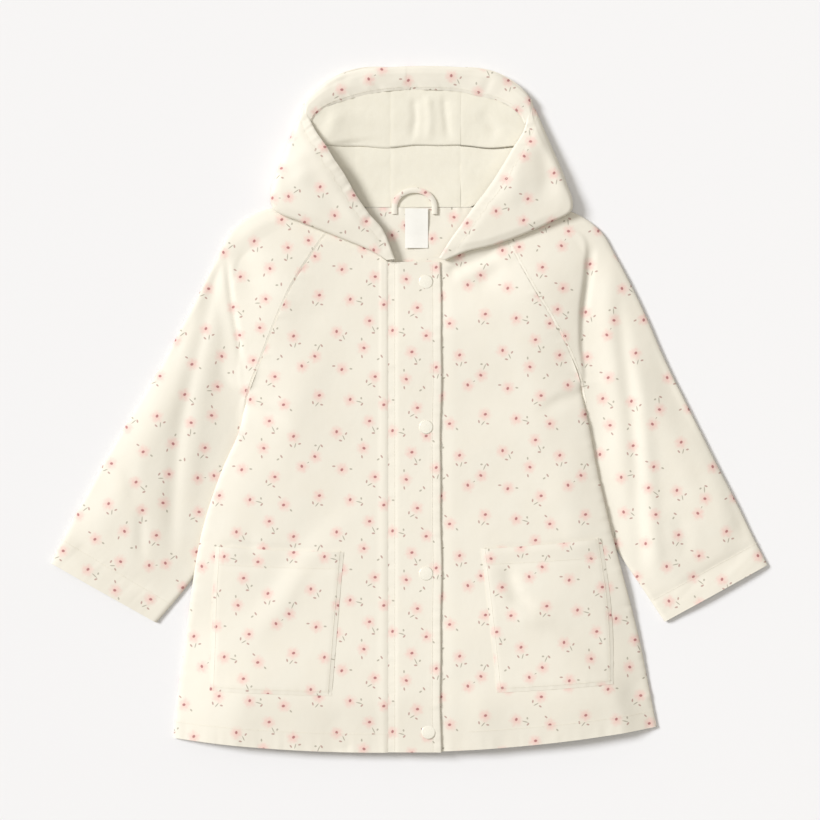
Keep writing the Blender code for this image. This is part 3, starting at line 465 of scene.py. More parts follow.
def sewn_cloth(name, grid, uv, wall, finish, faces_out=1, offset=-1.0):
    """A piece of cloth from its grid of points, with a thin wall, and its grain as UV."""
    across = grid.shape[1]
    index = np.arange(grid.shape[0] * across).reshape(-1, across)
    quads = np.stack([index[:-1, :-1], index[:-1, 1:], index[1:, 1:], index[1:, :-1]], -1)
    quads = quads.reshape(-1, 4)[:, ::faces_out]
    grid[..., 2] = np.maximum(grid[..., 2], 0.0)
    mesh = bpy.data.meshes.new(name)
    mesh.from_pydata((grid.reshape(-1, 3) * MM).tolist(), [], quads.tolist())
    layer = mesh.uv_layers.new(name="grain")
    corners = np.empty(len(mesh.loops), int)
    mesh.loops.foreach_get("vertex_index", corners)
    layer.data.foreach_set("uv", (uv.reshape(-1, 2)[corners] / REPEAT).ravel())
    mesh.materials.append(finish)
    mesh.shade_smooth()
    # the cut edges stay crisp, so the shading doesn't run round them
    ends = np.empty(2 * len(mesh.edges), int)
    mesh.edges.foreach_get("vertices", ends)
    down, along = np.divmod(ends.reshape(-1, 2), across)
    is_cut = ((down == 0).all(1) | (down == grid.shape[0] - 1).all(1)
              | (along == 0).all(1) | (along == across - 1).all(1))
    mesh.edges.foreach_set("use_edge_sharp", is_cut)
    piece = add_object(name, mesh)
    maker = piece.modifiers.new("Wall", "SOLIDIFY")
    maker.thickness = wall * MM
    maker.offset = offset
    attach(piece, "root")
    return piece


def laid(node):
    """Hides the CAD part that this piece of cloth stands in for."""
    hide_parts(node)


def grain(grid, turn=0.0, shift=(0.0, 0.0), fold=None):
    """Where each point lies on the cut cloth: turned with the grain, unfolded at a fold."""
    angle = math.radians(turn)
    across = grid[..., 0] * math.cos(angle) + grid[..., 1] * math.sin(angle)
    along = grid[..., 1] * math.cos(angle) - grid[..., 0] * math.sin(angle)
    if fold is not None:
        across[:, :fold] = 2.0 * across[:, fold:fold + 1] - across[:, :fold]
    return np.stack([across + shift[0], along + shift[1]], axis=-1)


# The fronts: each from the opening to the side seam, and above the underarm to the raglan.
FLAP_SEAM_X = -18.9
FLAP_FREE_X = 28.8
UNDERLAP_X = -11.7
EDGE_COLUMNS = EDGE_RADIUS * (1.0 - np.cos(np.linspace(0.0, math.pi / 2, 8)))
BODY_SPACING = 2.3


def front_columns(length):
    """Distances from the opening: even over the panel, closer where it turns at the side."""
    even = np.linspace(0.0, 1.0, 76) * (length - EDGE_RADIUS)
    return np.concatenate([even[:-1], length - EDGE_COLUMNS[::-1]])


def walked(grid):
    """How far along its columns each point of a grid lies, in mm."""
    return np.cumsum(np.linalg.norm(np.diff(grid, axis=0, prepend=grid[:1]), axis=-1), axis=0)


def front_grid(side, first_x):
    """All of a front's points, with the folds and the gathers beside its seams."""
    rows = []
    for index, (right, left) in enumerate(zip(RIGHT_ROWS, LEFT_ROWS)):
        edge_x = right.edge_x if side < 0 else left.edge_x
        rows.append(front_row(index, side, first_x, front_columns(abs(edge_x - first_x))))
    grid = draw_through(rows, BODY_SPACING)
    x, y = grid[..., 0], grid[..., 1]
    length = walked(grid)
    from_edge = np.abs(x - x[:, -1:])
    grid[..., 2] += body_relief(x, y) + pucker(from_edge, length, 21 + side)
    grid[..., 2] += pucker(length, x, 31 + side, 0.16, 12.0)
    return grid


right_grid = front_grid(-1, FLAP_SEAM_X)
right_x = right_grid[..., 0]
# the seam allowance lies under the front, and lifts it beside the flap's seam
WELT_X, WELT_RISE, SEAM_DIP = -27.5, 0.35, 0.10
welt = smooth((right_x - WELT_X) / 3.0) * smooth((FLAP_SEAM_X + 0.2 - right_x) / 1.6)
right_grid[..., 2] += WELT_RISE * welt - SEAM_DIP * smooth((right_x - FLAP_SEAM_X + 2.1) / 1.8)
front_right = sewn_cloth("coat_front_right", right_grid, grain(right_grid), 0.6,
                         printed_cloth, -1)

left_grid = front_grid(1, UNDERLAP_X)
left_x = left_grid[..., 0]
# it dips under the flap and out of sight beside the flap's free edge
left_grid[..., 2] -= 0.7 * (1.0 - smooth((left_x - FLAP_FREE_X + 1.0) / 13.0))
front_left = sewn_cloth("coat_front_left", left_grid, grain(left_grid, 0.0, (31.0, 17.0)),
                        0.6, printed_cloth)

# The back: flat on the table, raised at its sides where a sleeve is tucked beneath it.
BackRow = namedtuple("BackRow", "centre_y right_x right_y left_x left_y")
BACK_ROWS = [BackRow(*row) for row in (
    (10, -144, 15.3, 153.9, 24.3), (42, -128, 48, 137, 55), (74, -112, 81, 121, 85),
    (104, -96, 112, 105, 113), (132, -81, 138, 90, 138), (157, -66, 161, 76, 161),
    (178.5, -52, 181, 62, 181),
)]
BACK_CREASES = [Crease(*row) for row in (
    ([(-120, -60), (-80, -110), (-30, -170)], 1.5, 9, 12, 0.4, 0.4),
    ([(110, 10), (90, -70), (98, -150)], 1.7, 10, 8, 0.4, 0.4),
    ([(-60, 120), (-72, 60), (-64, 0)], 1.2, 8, 12, 0.4, 0.4),
    ([(20, -200), (34, -250), (30, -309)], 1.3, 12, 10, 0.5, 0.05),
    ([(-150, -220), (-140, -260), (-146, -306)], 1.1, 10, 9, 0.5, 0.05),
    ([(150, -190), (164, -240), (160, -300)], 1.4, 11, 9, 0.5, 0.05),
)]


BACK_LIFT_IN, BACK_LIFT_FADE = 9.0, 17.0   # how far in the sleeve beneath holds it up


def back_half(row, side, centre_x, is_turned, gap):
    """(x, height) of the back's columns from one side to its middle."""
    half = abs(row.edge_x - centre_x)
    inwards = np.concatenate([EDGE_COLUMNS, np.linspace(EDGE_RADIUS, half, 44)[1:]])
    height = row.lift * (1.0 - smooth((inwards - row.tucked - BACK_LIFT_IN) / BACK_LIFT_FADE))
    if is_turned:
        turned = np.clip(1.0 - inwards / EDGE_RADIUS, 0.0, 1.0)
        height += ((row.top - row.lift - gap) / 2) * (1.0 - np.sqrt(1.0 - turned ** 2))
    return row.edge_x - side * inwards, height


back_rows = []
for index, (right, left) in enumerate(zip(RIGHT_ROWS, LEFT_ROWS)):
    is_turned = index < UNDERARM
    centre_y = (right.centre_y + left.centre_y) / 2
    if not is_turned:
        upper = BACK_ROWS[index - UNDERARM]
        right = right._replace(edge_x=upper.right_x, edge_y=upper.right_y)
        left = left._replace(edge_x=upper.left_x, edge_y=upper.left_y)
        centre_y = upper.centre_y
    centre_x = (right.edge_x + left.edge_x) / 2
    gap = ARMPIT_GAP if index == ARMPIT else SEAM_GAP
    right_x, right_z = back_half(right, -1, centre_x, is_turned, gap)
    left_x, left_z = back_half(left, 1, centre_x, is_turned, gap)
    x = np.concatenate([right_x, left_x[-2::-1]])
    z = np.concatenate([right_z, left_z[-2::-1]])
    back_rows.append(points_of(x, row_y(right, left, x, centre_y), z))
back_grid = draw_through(back_rows, 4.0)
back_x, back_y = back_grid[..., 0], back_grid[..., 1]
back_grid[..., 2] = np.maximum(back_grid[..., 2], 0.0)
back_grid[..., 2] += np.maximum(creased(back_x, back_y, BACK_CREASES), 0.0)
back_grid[..., 2] += np.maximum(slack(back_x, back_y, 41, 0.4), 0.0)
coat_back = sewn_cloth("coat_back", back_grid, grain(back_grid, 0.0, (12.0, 40.0)), 0.6,
                       printed_cloth, -1)

for piece, node, flat, area in (
    (front_right, "front_right", (0.194, 0.477), 0.0648),
    (front_left, "front_left", (0.235, 0.477), 0.0820),
    (coat_back, "back", (0.436, 0.487), 0.1520),
):
    laid(node)

# ======== the placket flap
# A doubled strip over the opening, sewn to the right front down its left side and free down
# its right, where it stands off the left front a little.
FLAP_RISE, FLAP_LIFT = 0.9, 0.5    # off the left front: by the seam, and by the free edge
FLAP_ROLL = 1.6                    # the radius of the folded free edge
FLAP_STITCHES = (FLAP_SEAM_X + 6.0, FLAP_FREE_X - 7.5)


def flap_height(x, y):
    """The flap's outer face: level at its seam, and rising a little to its free edge."""
    lift = FLAP_RISE * smooth((x - FLAP_SEAM_X) / 11.0) - SEAM_DIP
    lift += FLAP_LIFT * smooth((x - 14.0) / 15.0) ** 1.3
    roll = np.clip((x - FLAP_FREE_X) / FLAP_ROLL + 1.0, 0.0, 1.0)
    return BODY_TOP + body_relief(x, y) + lift - FLAP_RISE * (1.0 - np.sqrt(1.0 - roll ** 2))


flap_columns = np.concatenate([
    np.linspace(FLAP_SEAM_X + 0.06, FLAP_FREE_X - 2.0, 40),
    FLAP_FREE_X - FLAP_ROLL * (1.0 - np.sin(np.linspace(0.12, math.pi / 2, 6)))])
flap_grid = draw_through([points_of(flap_columns, (right.centre_y + left.centre_y) / 2, 0.0)
                          for right, left in zip(RIGHT_ROWS, LEFT_ROWS)], BODY_SPACING)
flap_x, flap_y = flap_grid[..., 0], flap_grid[..., 1]
flap_grid[..., 2] = flap_height(flap_x, flap_y)
flap_grid[..., 2] += pucker(flap_x - FLAP_SEAM_X, flap_y, 51, 0.16, 5.0)
flap_grid[..., 2] += pucker(FLAP_FREE_X - flap_x, flap_y, 52, 0.20, 8.0)
# the row of stitching down each side draws the doubled cloth in
for stitched_x in FLAP_STITCHES:
    flap_grid[..., 2] -= 0.16 * bell(flap_x - stitched_x, 1.5)
# the free edge wanders by a hair, as a pressed edge does
flap_grid[..., 0] += (0.5 * np.sin(flap_y / 31.0) + 0.3 * np.sin(flap_y / 13.0)) * smooth(
    (flap_x - 10.0) / 18.0)
placket_flap = sewn_cloth("placket_flap_cloth", flap_grid, grain(flap_grid, 0.0, (52.0, 28.0)),
                          0.9, printed_cloth)
laid("placket_flap")

# ======== the patch pockets
# One on each front, sewn down both sides and along the foot.  The mouth has a turned hem,
# and stands open by a hair.
PocketSpan = namedtuple("PocketSpan", "foot_in foot_out mouth_in mouth_out")
RIGHT_POCKET = PocketSpan(0.267, 0.848, 0.233, 0.910)
LEFT_POCKET = PocketSpan(0.256, 0.826, 0.215, 0.930)
POCKET_FOOT, POCKET_MOUTH = 1, 4
POCKET_STAND = 0.32    # at the sewn edges
POCKET_EASE = 0.7      # more, inside them
POCKET_SPACING = 1.9


def pocket_grid(side, span, first_x, seed):
    """A pocket: the front's own rows under it, moved out."""
    rows = []
    for index in range(POCKET_FOOT, POCKET_MOUTH + 1):
        edge_x = (RIGHT_ROWS if side < 0 else LEFT_ROWS)[index].edge_x
        up = (index - POCKET_FOOT) / (POCKET_MOUTH - POCKET_FOOT)
        length = abs(edge_x - first_x)
        inner, outer = mix(span.foot_in, span.mouth_in, up), mix(span.foot_out, span.mouth_out, up)
        rows.append(front_row(index, side, first_x, np.linspace(inner, outer, 64) * length))
    grid = draw_through(rows, POCKET_SPACING)
    x, y = grid[..., 0], grid[..., 1]
    down, across = np.indices(x.shape)
    from_sides = np.minimum(across, x.shape[1] - 1 - across) * 1.8
    from_foot = down * POCKET_SPACING
    from_mouth = (x.shape[0] - 1 - down) * POCKET_SPACING
    ease = smooth(from_sides / 5.0) * smooth(from_foot / 5.0)
    grid[..., 2] += body_relief(x, y) + POCKET_STAND + POCKET_EASE * ease
    mouth = smooth((14.0 - from_mouth) / 10.0) * smooth(from_sides / 14.0)
    grid[..., 2] += 0.5 * mouth - 0.2 * bell(from_mouth - 16.0, 2.2)
    grid[..., 2] += pucker(from_sides, y, seed, 0.08) + pucker(from_foot, x, seed + 1, 0.08)
    # its topstitching draws it in beside the sewn edges
    grid[..., 2] -= 0.14 * (bell(from_sides - 3.0, 1.3) + bell(from_foot - 3.0, 1.3))
    return grid


grids = {}             # the points of the pieces whose stitching comes later
for node, side, span, first_x, shift, front in (
    ("pocket_right", -1, RIGHT_POCKET, FLAP_SEAM_X, (23.0, 51.0), "coat_front_right"),
    ("pocket_left", 1, LEFT_POCKET, FLAP_FREE_X + 3.2, (66.0, 9.0), "coat_front_left"),
):
    points = grids[node] = pocket_grid(side, span, first_x, 61 + side)
    pocket = sewn_cloth(node + "_cloth", points, grain(points, 0.0, shift), 0.4,
                        printed_cloth, side)
    laid(node)

# ======== the snap caps
# Four press studs close the flap.  Only their low domed caps show, enamelled in the
# cloth's own cream, with a rolled rim.
SNAP_PLACES = ((15.3, 114.3), (15.3, -16.2), (15.3, -147.6), (17.5, -289.8))
SNAP_OUTLINE = [       # radius and height, from the crown down to the foot
    (0.0, 1.05), (1.8, 1.03), (3.3, 0.97), (4.4, 0.88), (4.9, 0.85), (5.3, 0.86),
    (5.7, 0.80), (6.0, 0.68), (6.25, 0.46), (6.3, 0.2), (6.1, 0.0), (0.0, 0.0),
]
enamel = Finish("snap_enamel", 0.24)
place = enamel.object_place()
enamel.sets(
    Base_Color=enamel.mix(enamel.noise(place, 260.0), shade(230, 226, 211), shade(228, 222, 206)),
    Roughness=enamel.ramp(enamel.noise(place, 900.0), 0.3, 0.7, 0.20, 0.30),
    Coat_Weight=0.4, Coat_Roughness=0.12)
SNAP_SIDES = 40
for number, (snap_x, snap_y) in enumerate(SNAP_PLACES, start=1):
    seat = float(flap_height(np.array([snap_x]), np.array([snap_y]))[0]) - 0.15
    points, faces = [], []
    for radius, height in SNAP_OUTLINE[1:-1]:
        for turn in range(SNAP_SIDES):
            angle = math.tau * turn / SNAP_SIDES
            points.append(((snap_x + radius * math.cos(angle)) * MM,
                           (snap_y + radius * math.sin(angle)) * MM, (seat + height) * MM))
    rings = len(SNAP_OUTLINE) - 2
    for ring in range(rings - 1):
        for turn in range(SNAP_SIDES):
            a, b = ring * SNAP_SIDES + turn, ring * SNAP_SIDES + (turn + 1) % SNAP_SIDES
            faces.append((a, a + SNAP_SIDES, b + SNAP_SIDES, b))
    top, foot = len(points), len(points) + 1
    points += [(snap_x * MM, snap_y * MM, (seat + SNAP_OUTLINE[0][1]) * MM),
               (snap_x * MM, snap_y * MM, seat * MM)]
    last = (rings - 1) * SNAP_SIDES
    for turn in range(SNAP_SIDES):
        following = (turn + 1) % SNAP_SIDES
        faces += [(top, turn, following), (foot, last + following, last + turn)]
    cap_mesh = bpy.data.meshes.new(f"snap_cap_{number}")
    cap_mesh.from_pydata(points, [], faces)
    cap_mesh.materials.append(enamel.material)
    cap_mesh.shade_smooth()
    cap = add_object(f"snap_cap_{number}", cap_mesh)
    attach(cap, "root")
    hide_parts(f"snap_{number}")

# ======== the raglan sleeves
# Each is one piece, flattened, with its seam under the arm.  From the underarm up it is
# sewn to the front and back along the raglan seams, and the body's side crease crosses it.
ArmRow = namedtuple("ArmRow", "outer_x outer_y inner_x inner_y tucked inner_top")
RIGHT_ARM = [ArmRow(*row) for row in (
    (-323.1, -138.6, -227.7, -192.6, 0, 4), (-299.7, -93.6, -197.1, -155.7, 0, 3.6),
    (-285.3, -67.5, -177.3, -126.9, 13, 3.2), (-269.1, -37.8, -162.9, -97.2, 20, 3.2),
    (-247.5, -1.8, -155.7, -54.9, 12.6, 3.2), (-230.4, 27, -149.4, -24.6, 6, 3.4),
    (-219, 47, -144.9, 7, 2.4, 5.2),
)]
LEFT_ARM = [ArmRow(*row) for row in (
    (323.1, -140.4, 230.4, -191.7, 0, 4), (308.7, -112.5, 212.4, -164.7, 0, 4.4),
    (295.2, -84.6, 190.8, -132.3, 0, 3.2), (278.1, -51.3, 173.7, -101.7, 7, 3.2),
    (261.9, -18.9, 158.4, -62.1, 12.6, 3.2), (246.6, 11.7, 159.4, -21.4, 6, 3.4),
    (235.8, 33.3, 154.4, 15.6, 2.4, 5.2),
)]
# crease is where the body's side crease crosses the row, as a share of it, and step is how
# far the cloth drops there.
CapRow = namedtuple("CapRow", "outer_x outer_y crease step")
RIGHT_CAP = [CapRow(*row) for row in (
    (-213.3, 57.6, 0.12, 0.6), (-197.1, 89.1, 0.32, 0.6), (-183.6, 115.2, 0.63, 0.6),
    (-172.8, 136.8, 0.80, 0.4), (-159.3, 161.1, 0.78, 0), (-132.3, 178.7, 0.70, 0),
    (-63.9, 182.3, 0.50, 0),
)]
LEFT_CAP = [CapRow(*row) for row in (
    (229.5, 46.8, 0.06, 0.9), (216, 78.3, 0.17, 1.9), (201.6, 108.9, 0.38, 2.3),
    (186.3, 137.7, 0.63, 2), (171.9, 161.1, 0.80, 1), (144.9, 178.2, 0.70, 0),
    (72.9, 182.3, 0.50, 0),
)]
RAGLAN_DIP = 0.5
SLEEVE_TOP = 3.6
SLEEVE_FULLNESS = 4.8
SLEEVE_REACH = 34.0
SLEEVE_FADE = 22.0
SLEEVE_RADIUS = 5.0
SLEEVE_SPACING = 2.4
RIGHT_ARM_CREASES = [Crease(*row) for row in (
    ([(-168, 148), (-183, 83), (-193, 40), (-205, -10), (-211, -63), (-214, -150)],
      -1.3, 6, 8, 0.12, 0.2),
    ([(-164, 104), (-174, 60), (-186, 10), (-194, -45), (-198, -120)], 0.8, 9, 9, 0.35, 0.3),
    ([(-203, 70), (-236, -20), (-262, -115)], 0.8, 15, 19, 0.3, 0.3),
    ([(-240, -84), (-241, -112), (-240, -142)], -1, 5, 5, 0.4, 0.4),
    ([(-307, -118), (-290, -132), (-270, -147), (-228, -163)], -1.3, 7, 8, 0.2, 0.3),
    ([(-154, 159), (-143, 117), (-130, 95)], -1.4, 12, 11, 0.35, 0.4),
    ([(-166, 148), (-160, 100), (-153, 60), (-146, 20)], -1.2, 2.4, 2.8, 0.25, 0.4),
    ([(-262, -40), (-250, -64), (-246, -92)], -0.9, 9, 7, 0.4, 0.4),
    ([(-200, 96), (-205, 70), (-220, 40)], -0.8, 8, 8, 0.4, 0.4),
)]
LEFT_ARM_CREASES = [Crease(*row) for row in (
    ([(185, 118), (191, 68), (198, 12), (202, -37), (206, -98), (213, -158)],
      -1.6, 7, 8, 0.2, 0.15),
    ([(200, 60), (209, 12), (214, -40), (219, -98), (224, -160)], 1.1, 7, 8, 0.3, 0.15),
    ([(166, 152), (164, 128), (160, 100), (157, 72)], -1, 3, 5, 0.2, 0.3),
    ([(212, 60), (250, -20), (284, -110)], -1.2, 15, 12, 0.3, 0.3),
    ([(240, 0), (272, -60), (296, -126)], 1.1, 10, 12, 0.3, 0.2),
    ([(304, -58), (307, -86), (312, -120)], -1.3, 10, 16, 0.4, 0.3),
    ([(310, -122), (280, -142), (240, -164)], -1, 8, 7, 0.25, 0.3),
    ([(236, -90), (246, -110), (250, -138)], -0.8, 7, 7, 0.4, 0.4),
)]
FOLD_ANGLES = np.linspace(-math.pi / 2, math.pi / 2, 11)
FOLD_MIDDLE = len(FOLD_ANGLES) // 2


def fold_over(start, fold, end, low, high, radius):
    """Points round a fold: from the lower layer's inner side of it to the upper's."""
    from_start = math.atan2(fold[1] - start[1], fold[0] - start[0])
    to_end = math.atan2(fold[1] - end[1], fold[0] - end[0])
    swing = math.atan2(math.sin(to_end - from_start), math.cos(to_end - from_start))
    heading = from_start + swing * (FOLD_ANGLES / math.pi + 0.5)
    back = radius * (1.0 - np.cos(FOLD_ANGLES))
    return points_of(fold[0] - np.cos(heading) * back, fold[1] - np.sin(heading) * back,
                     mix(low, high, 0.5 + 0.5 * np.sin(FOLD_ANGLES)))


def between(start, end, shares, heights):
    """Points on the line from start to end, at these shares of it and these heights."""
    return points_of(mix(start[0], end[0], shares), mix(start[1], end[1], shares), heights)


SLEEVE_UNDER = 16      # columns of a sleeve that lie under the arm
SLEEVE_SEAM = 3.5      # how far the cloth takes to turn into the seam under the arm


def sleeve_row(outer, top_inner, back_inner):
    """The plan of one row round a sleeve: seam, under layer, outer fold, top layer, seam."""
    length, back_length = math.dist(outer, top_inner), math.dist(outer, back_inner)
    radius = min(SLEEVE_RADIUS, length * 0.25)
    turned = SLEEVE_SEAM * np.linspace(0.0, 1.0, 5) ** 1.5
    under_in = np.concatenate([turned, np.linspace(SLEEVE_SEAM, back_length - radius, 13)[1:-1]])
    top_in = np.concatenate([np.linspace(length - radius, SLEEVE_SEAM, 54)[1:], turned[-2::-1]])
    return np.concatenate([
        between(back_inner, outer, under_in / back_length, 0.0),
        fold_over(back_inner, outer, top_inner, 0.0, 0.0, radius),
        between(top_inner, outer, top_in / length, 0.0)])


# how an arm's upper layer comes up beside the body: over what width, from how far in, and
# how far it goes on to fill out
ArmRise = namedtuple("ArmRise", "fade start reach")
ARM_RISE = {-1: ArmRise(10, 4, 70), 1: ArmRise(SLEEVE_FADE, -1, 34)}


def sleeve_top(side, x, y, inwards, length, tucked, inner_top, crease, step, is_cap, held):
    """The upper layer's height, on the arm and on the cap that the raglan seams hold."""
    fade, rise_from, reach = ARM_RISE[side]
    outer_side = held * rounded((length - inwards) / SLEEVE_REACH)
    shown = inwards - tucked
    arm = mix(inner_top, SLEEVE_TOP, smooth((shown + rise_from) / fade))
    arm += SLEEVE_FULLNESS * smooth(shown / reach) * outer_side
    low = np.clip(1.0 - inwards / SLEEVE_SEAM, 0.0, 1.0) ** 2
    arm = mix(arm, inner_top / 2 + 0.15, low)
    beyond = inwards - crease * length
    far = mix(RAGLAN_TOP - step, SLEEVE_TOP, smooth(beyond / SLEEVE_FADE))
    far += SLEEVE_FULLNESS * smooth(beyond / reach) * outer_side
    near = RAGLAN_TOP + full(x, y) - RAGLAN_DIP * (1.0 - smooth(inwards - 0.9))
    cap = mix(near, far, smooth((beyond + 2.5) / 5.0))
    return mix(arm, cap, smooth(is_cap))


def sleeve_grid(side, arm, cap, body_rows, creases, seed):
    """All of a sleeve's points, with the creases on its upper layer."""
    rows = []
    for row in arm:
        inner = (row.inner_x, row.inner_y)
        plan = sleeve_row((row.outer_x, row.outer_y), inner, inner)
        rows.append(np.vstack([plan, [row.tucked, row.inner_top, 0.0], [0.0, 0.0, 0.0]]))
    for index, row in enumerate(cap):
        seam, back = body_rows[UNDERARM + index], BACK_ROWS[index]
        back_inner = ((back.left_x + 0.5, back.left_y) if side > 0
                      else (back.right_x - 0.5, back.right_y))
        plan = sleeve_row((row.outer_x, row.outer_y), (seam.edge_x - side * 1.3, seam.edge_y),
                          back_inner)
        rows.append(np.vstack([plan, [0.0, 5.6, row.crease], [row.step, 1.0, 0.0]]))
    drawn = draw_through(rows, SLEEVE_SPACING)
    grid = drawn[:, :-2]
    (tucked, inner_top, crease), (step, is_cap, _) = (
        [drawn[:, place, part][:, None] for part in range(3)] for place in (-2, -1))
    folded = slice(SLEEVE_UNDER, SLEEVE_UNDER + len(FOLD_ANGLES))
    x, y = grid[:, folded.start:, 0], grid[:, folded.start:, 1]
    inwards = np.hypot(x - x[:, -1:], y - y[:, -1:])
    length = inwards.max(axis=1, keepdims=True)
    hem = np.arange(grid.shape[0])[:, None] * SLEEVE_SPACING
    held = mix(0.3, 1.0, smooth(hem / 70.0))
    level = sleeve_top(side, x, y, inwards, length, tucked, inner_top, crease, step, is_cap,
                       held)
    high = level[:, len(FOLD_ANGLES) - 1][:, None]
    grid[:, folded.start:, 2] = level
    rolled = 0.5 + 0.5 * np.sin(FOLD_ANGLES * 0.72)
    rolled = (rolled - rolled[0]) / (rolled[-1] - rolled[0])
    grid[:, folded, 2] = high * rolled
    from_seam = np.hypot(grid[:, :5, 0] - grid[:, :1, 0], grid[:, :5, 1] - grid[:, :1, 1])
    turned = np.clip(1.0 - from_seam / SLEEVE_SEAM, 0.0, 1.0) ** 2
    grid[:, :5, 2] = (inner_top / 2 - 0.15) * turned * (1.0 - smooth(is_cap))
    columns = grid.shape[1]
    first_top = SLEEVE_UNDER + FOLD_MIDDLE
    x, y = grid[:, first_top:, 0], grid[:, first_top:, 1]
    column = np.arange(columns - first_top)
    onto_top = smooth(column / 7.0)
    near_seam = smooth((columns - first_top - 1 - column) / 4.0)
    own = creased(x, y, creases) + slack(x, y, seed) * smooth(column / 12.0)
    grid[:, first_top:, 2] += own * onto_top * near_seam
    raglan = smooth((y - np.interp(x, [-150.0, 0.0, 150.0], [8.0, 8.0, 16.0])) / 12.0)
    shared = creased(x, y, BODY_CREASES) + slack(x, y, 11)
    shared += pucker((columns - first_top - 1 - column) * 1.4, y * 1.2, seed + 3)
    grid[:, first_top:, 2] += shared * raglan * smooth((column - 30.0) / 20.0)
    grid[:, first_top:, 2] -= 0.3 * bell(hem - 22.0, 2.2) * onto_top
    grid[:, first_top:, 2] += pucker(np.abs(hem - 14.0), x - y, seed + 5, 0.09, 14.0) * onto_top
    return grid


for node, side, arm, cap, body_rows, creases, turn, shift in (
    ("sleeve_right", -1, RIGHT_ARM, RIGHT_CAP, RIGHT_ROWS, RIGHT_ARM_CREASES, -29.0, (40.0, 5.0)),
    ("sleeve_left", 1, LEFT_ARM, LEFT_CAP, LEFT_ROWS, LEFT_ARM_CREASES, 27.0, (75.0, 60.0)),
):
    points = grids[node] = sleeve_grid(side, arm, cap, body_rows, creases, 70 + 4 * side)
    uv = grain(points, turn, shift, SLEEVE_UNDER + FOLD_MIDDLE)
    sleeve = sewn_cloth(node + "_cloth", points, uv, 0.6, printed_cloth, -side)
    laid(node)

# ======== the hood
# Two sides and a centre strip, laid open.  Each side runs flat from its seam, turns over at
# its outer fold, and comes back on top to the mouth's faced edge.  The rim stands up.
HoodPlan = namedtuple("HoodPlan", "sewn_x sewn_y fold_x fold_y mouth_x mouth_y")
RIGHT_HOOD = [HoodPlan(*row) for row in (
    (-16.2, 134.9, -20.3, 133.8, -12.6, 134.6), (-28.8, 146.7, -35.1, 142.7, -22.5, 159.3),
    (-46.8, 160.2, -57.6, 152.1, -36, 175.5), (-60.3, 170.1, -75.6, 159.3, -46.8, 190.8),
    (-64.8, 178.2, -98.1, 168.3, -54.9, 205.2), (-64.5, 183.6, -122.4, 180.4, -62.1, 216.9),
    (-60.5, 184.4, -124.7, 190.5, -67.5, 224.6), (-50.5, 183, -123.3, 199.4, -72, 232.2),
    (-33.3, 182, -119.7, 211.5, -77.4, 240.3), (-18, 181.8, -115.2, 224.1, -82.4, 247.5),
    (-18, 210.6, -109.8, 237.6, -86.4, 254.7), (-18, 239.4, -104.4, 251.1, -89.6, 261.9),
    (-18, 267.3, -99.9, 261.9, -91.3, 268.1),
)]
LEFT_HOOD = [HoodPlan(*row) for row in (
    (29.8, 134.9, 33.6, 133.8, 27, 135.9), (41.4, 143.6, 50.4, 140.9, 36, 150.3),
    (58.5, 155.7, 77.4, 147.6, 45, 162.9), (70.2, 168.3, 101.7, 156.2, 53.1, 174.6),
    (74.7, 177.8, 126, 167, 60.3, 184.7), (74, 183.6, 146.7, 179.4, 69.3, 196.2),
    (70, 184.4, 146.7, 189.6, 75.6, 205.2), (60.5, 183, 143.1, 199.8, 81.9, 215.1),
    (52.2, 182, 137.7, 215.1, 88.2, 225.5), (46.8, 181.8, 132.3, 227.7, 93.6, 234.9),
    (46.8, 210.6, 126, 242.1, 98.6, 242.1), (46.8, 239.4, 120.6, 254.7, 103.1, 250.4),
    (46.8, 267.3, 115.2, 267.3, 106.2, 262.2),
)]
# the heights on each of those rows, and the radius of the outer fold
HoodLevel = namedtuple("HoodLevel", "sewn_z low high radius mouth_z")
HOOD_LEVELS = [HoodLevel(*row) for row in (
    (7.4, 7.4, 11.4, 2.2, 11.5), (7.4, 7.4, 11.9, 3, 12.5), (7.4, 7.4, 12.4, 3.5, 14),
    (7.4, 7.4, 12.9, 3.5, 15), (7.4, 7.4, 13.4, 3.5, 15.5), (6.9, 7.4, 13.4, 3.5, 16),
    (3.8, 4.4, 13.4, 5, 16), (0.3, 2, 12.9, 6, 15.5), (0, 0.4, 12.4, 7, 15),
    (0, 0, 11.6, 7, 13.6), (0, 0, 10.8, 7, 12), (0, 0, 9.8, 6.5, 10.4), (0, 0, 8.8, 5, 9.2),
)]
# The rim turns up off the table: how far in from the rim, and how high.
RimStep = namedtuple("RimStep", "inset rise")
RIM_TURN = [RimStep(9, 0), RimStep(2.5, 1.2), RimStep(0.4, 3.6), RimStep(0, 6.6)]
RimEnd = namedtuple("RimEnd", "centre_x centre_y fold_x fold_y mouth_x mouth_y bow")
RIGHT_RIM = RimEnd(-18, 307.4, -95, 274.5, -90.6, 272.6, 12)
LEFT_RIM = RimEnd(46.8, 307.4, 110.7, 278.1, 106.9, 275.2, 9.5)
RIGHT_HOOD_CREASES = [Crease(*row) for row in (
    ([(-98, 215), (-80, 196), (-50, 168)], -1.2, 8, 10, 0.35, 0.4),
    ([(-108, 236), (-96, 216), (-90, 196)], 1, 9, 9, 0.4, 0.4),
)]
LEFT_HOOD_CREASES = [Crease(*row) for row in (
    ([(116, 240), (124, 212), (118, 180)], -1.7, 11, 9, 0.3, 0.4),
    ([(100, 226), (96, 200), (80, 176)], 1.1, 9, 9, 0.4, 0.4),
)]
HOOD_UNDER, HOOD_OVER = 14, 30     # columns of the under layer and of the top one
HOOD_FOLD = HOOD_UNDER - 1 + FOLD_MIDDLE
HOOD_SPACING = 2.2
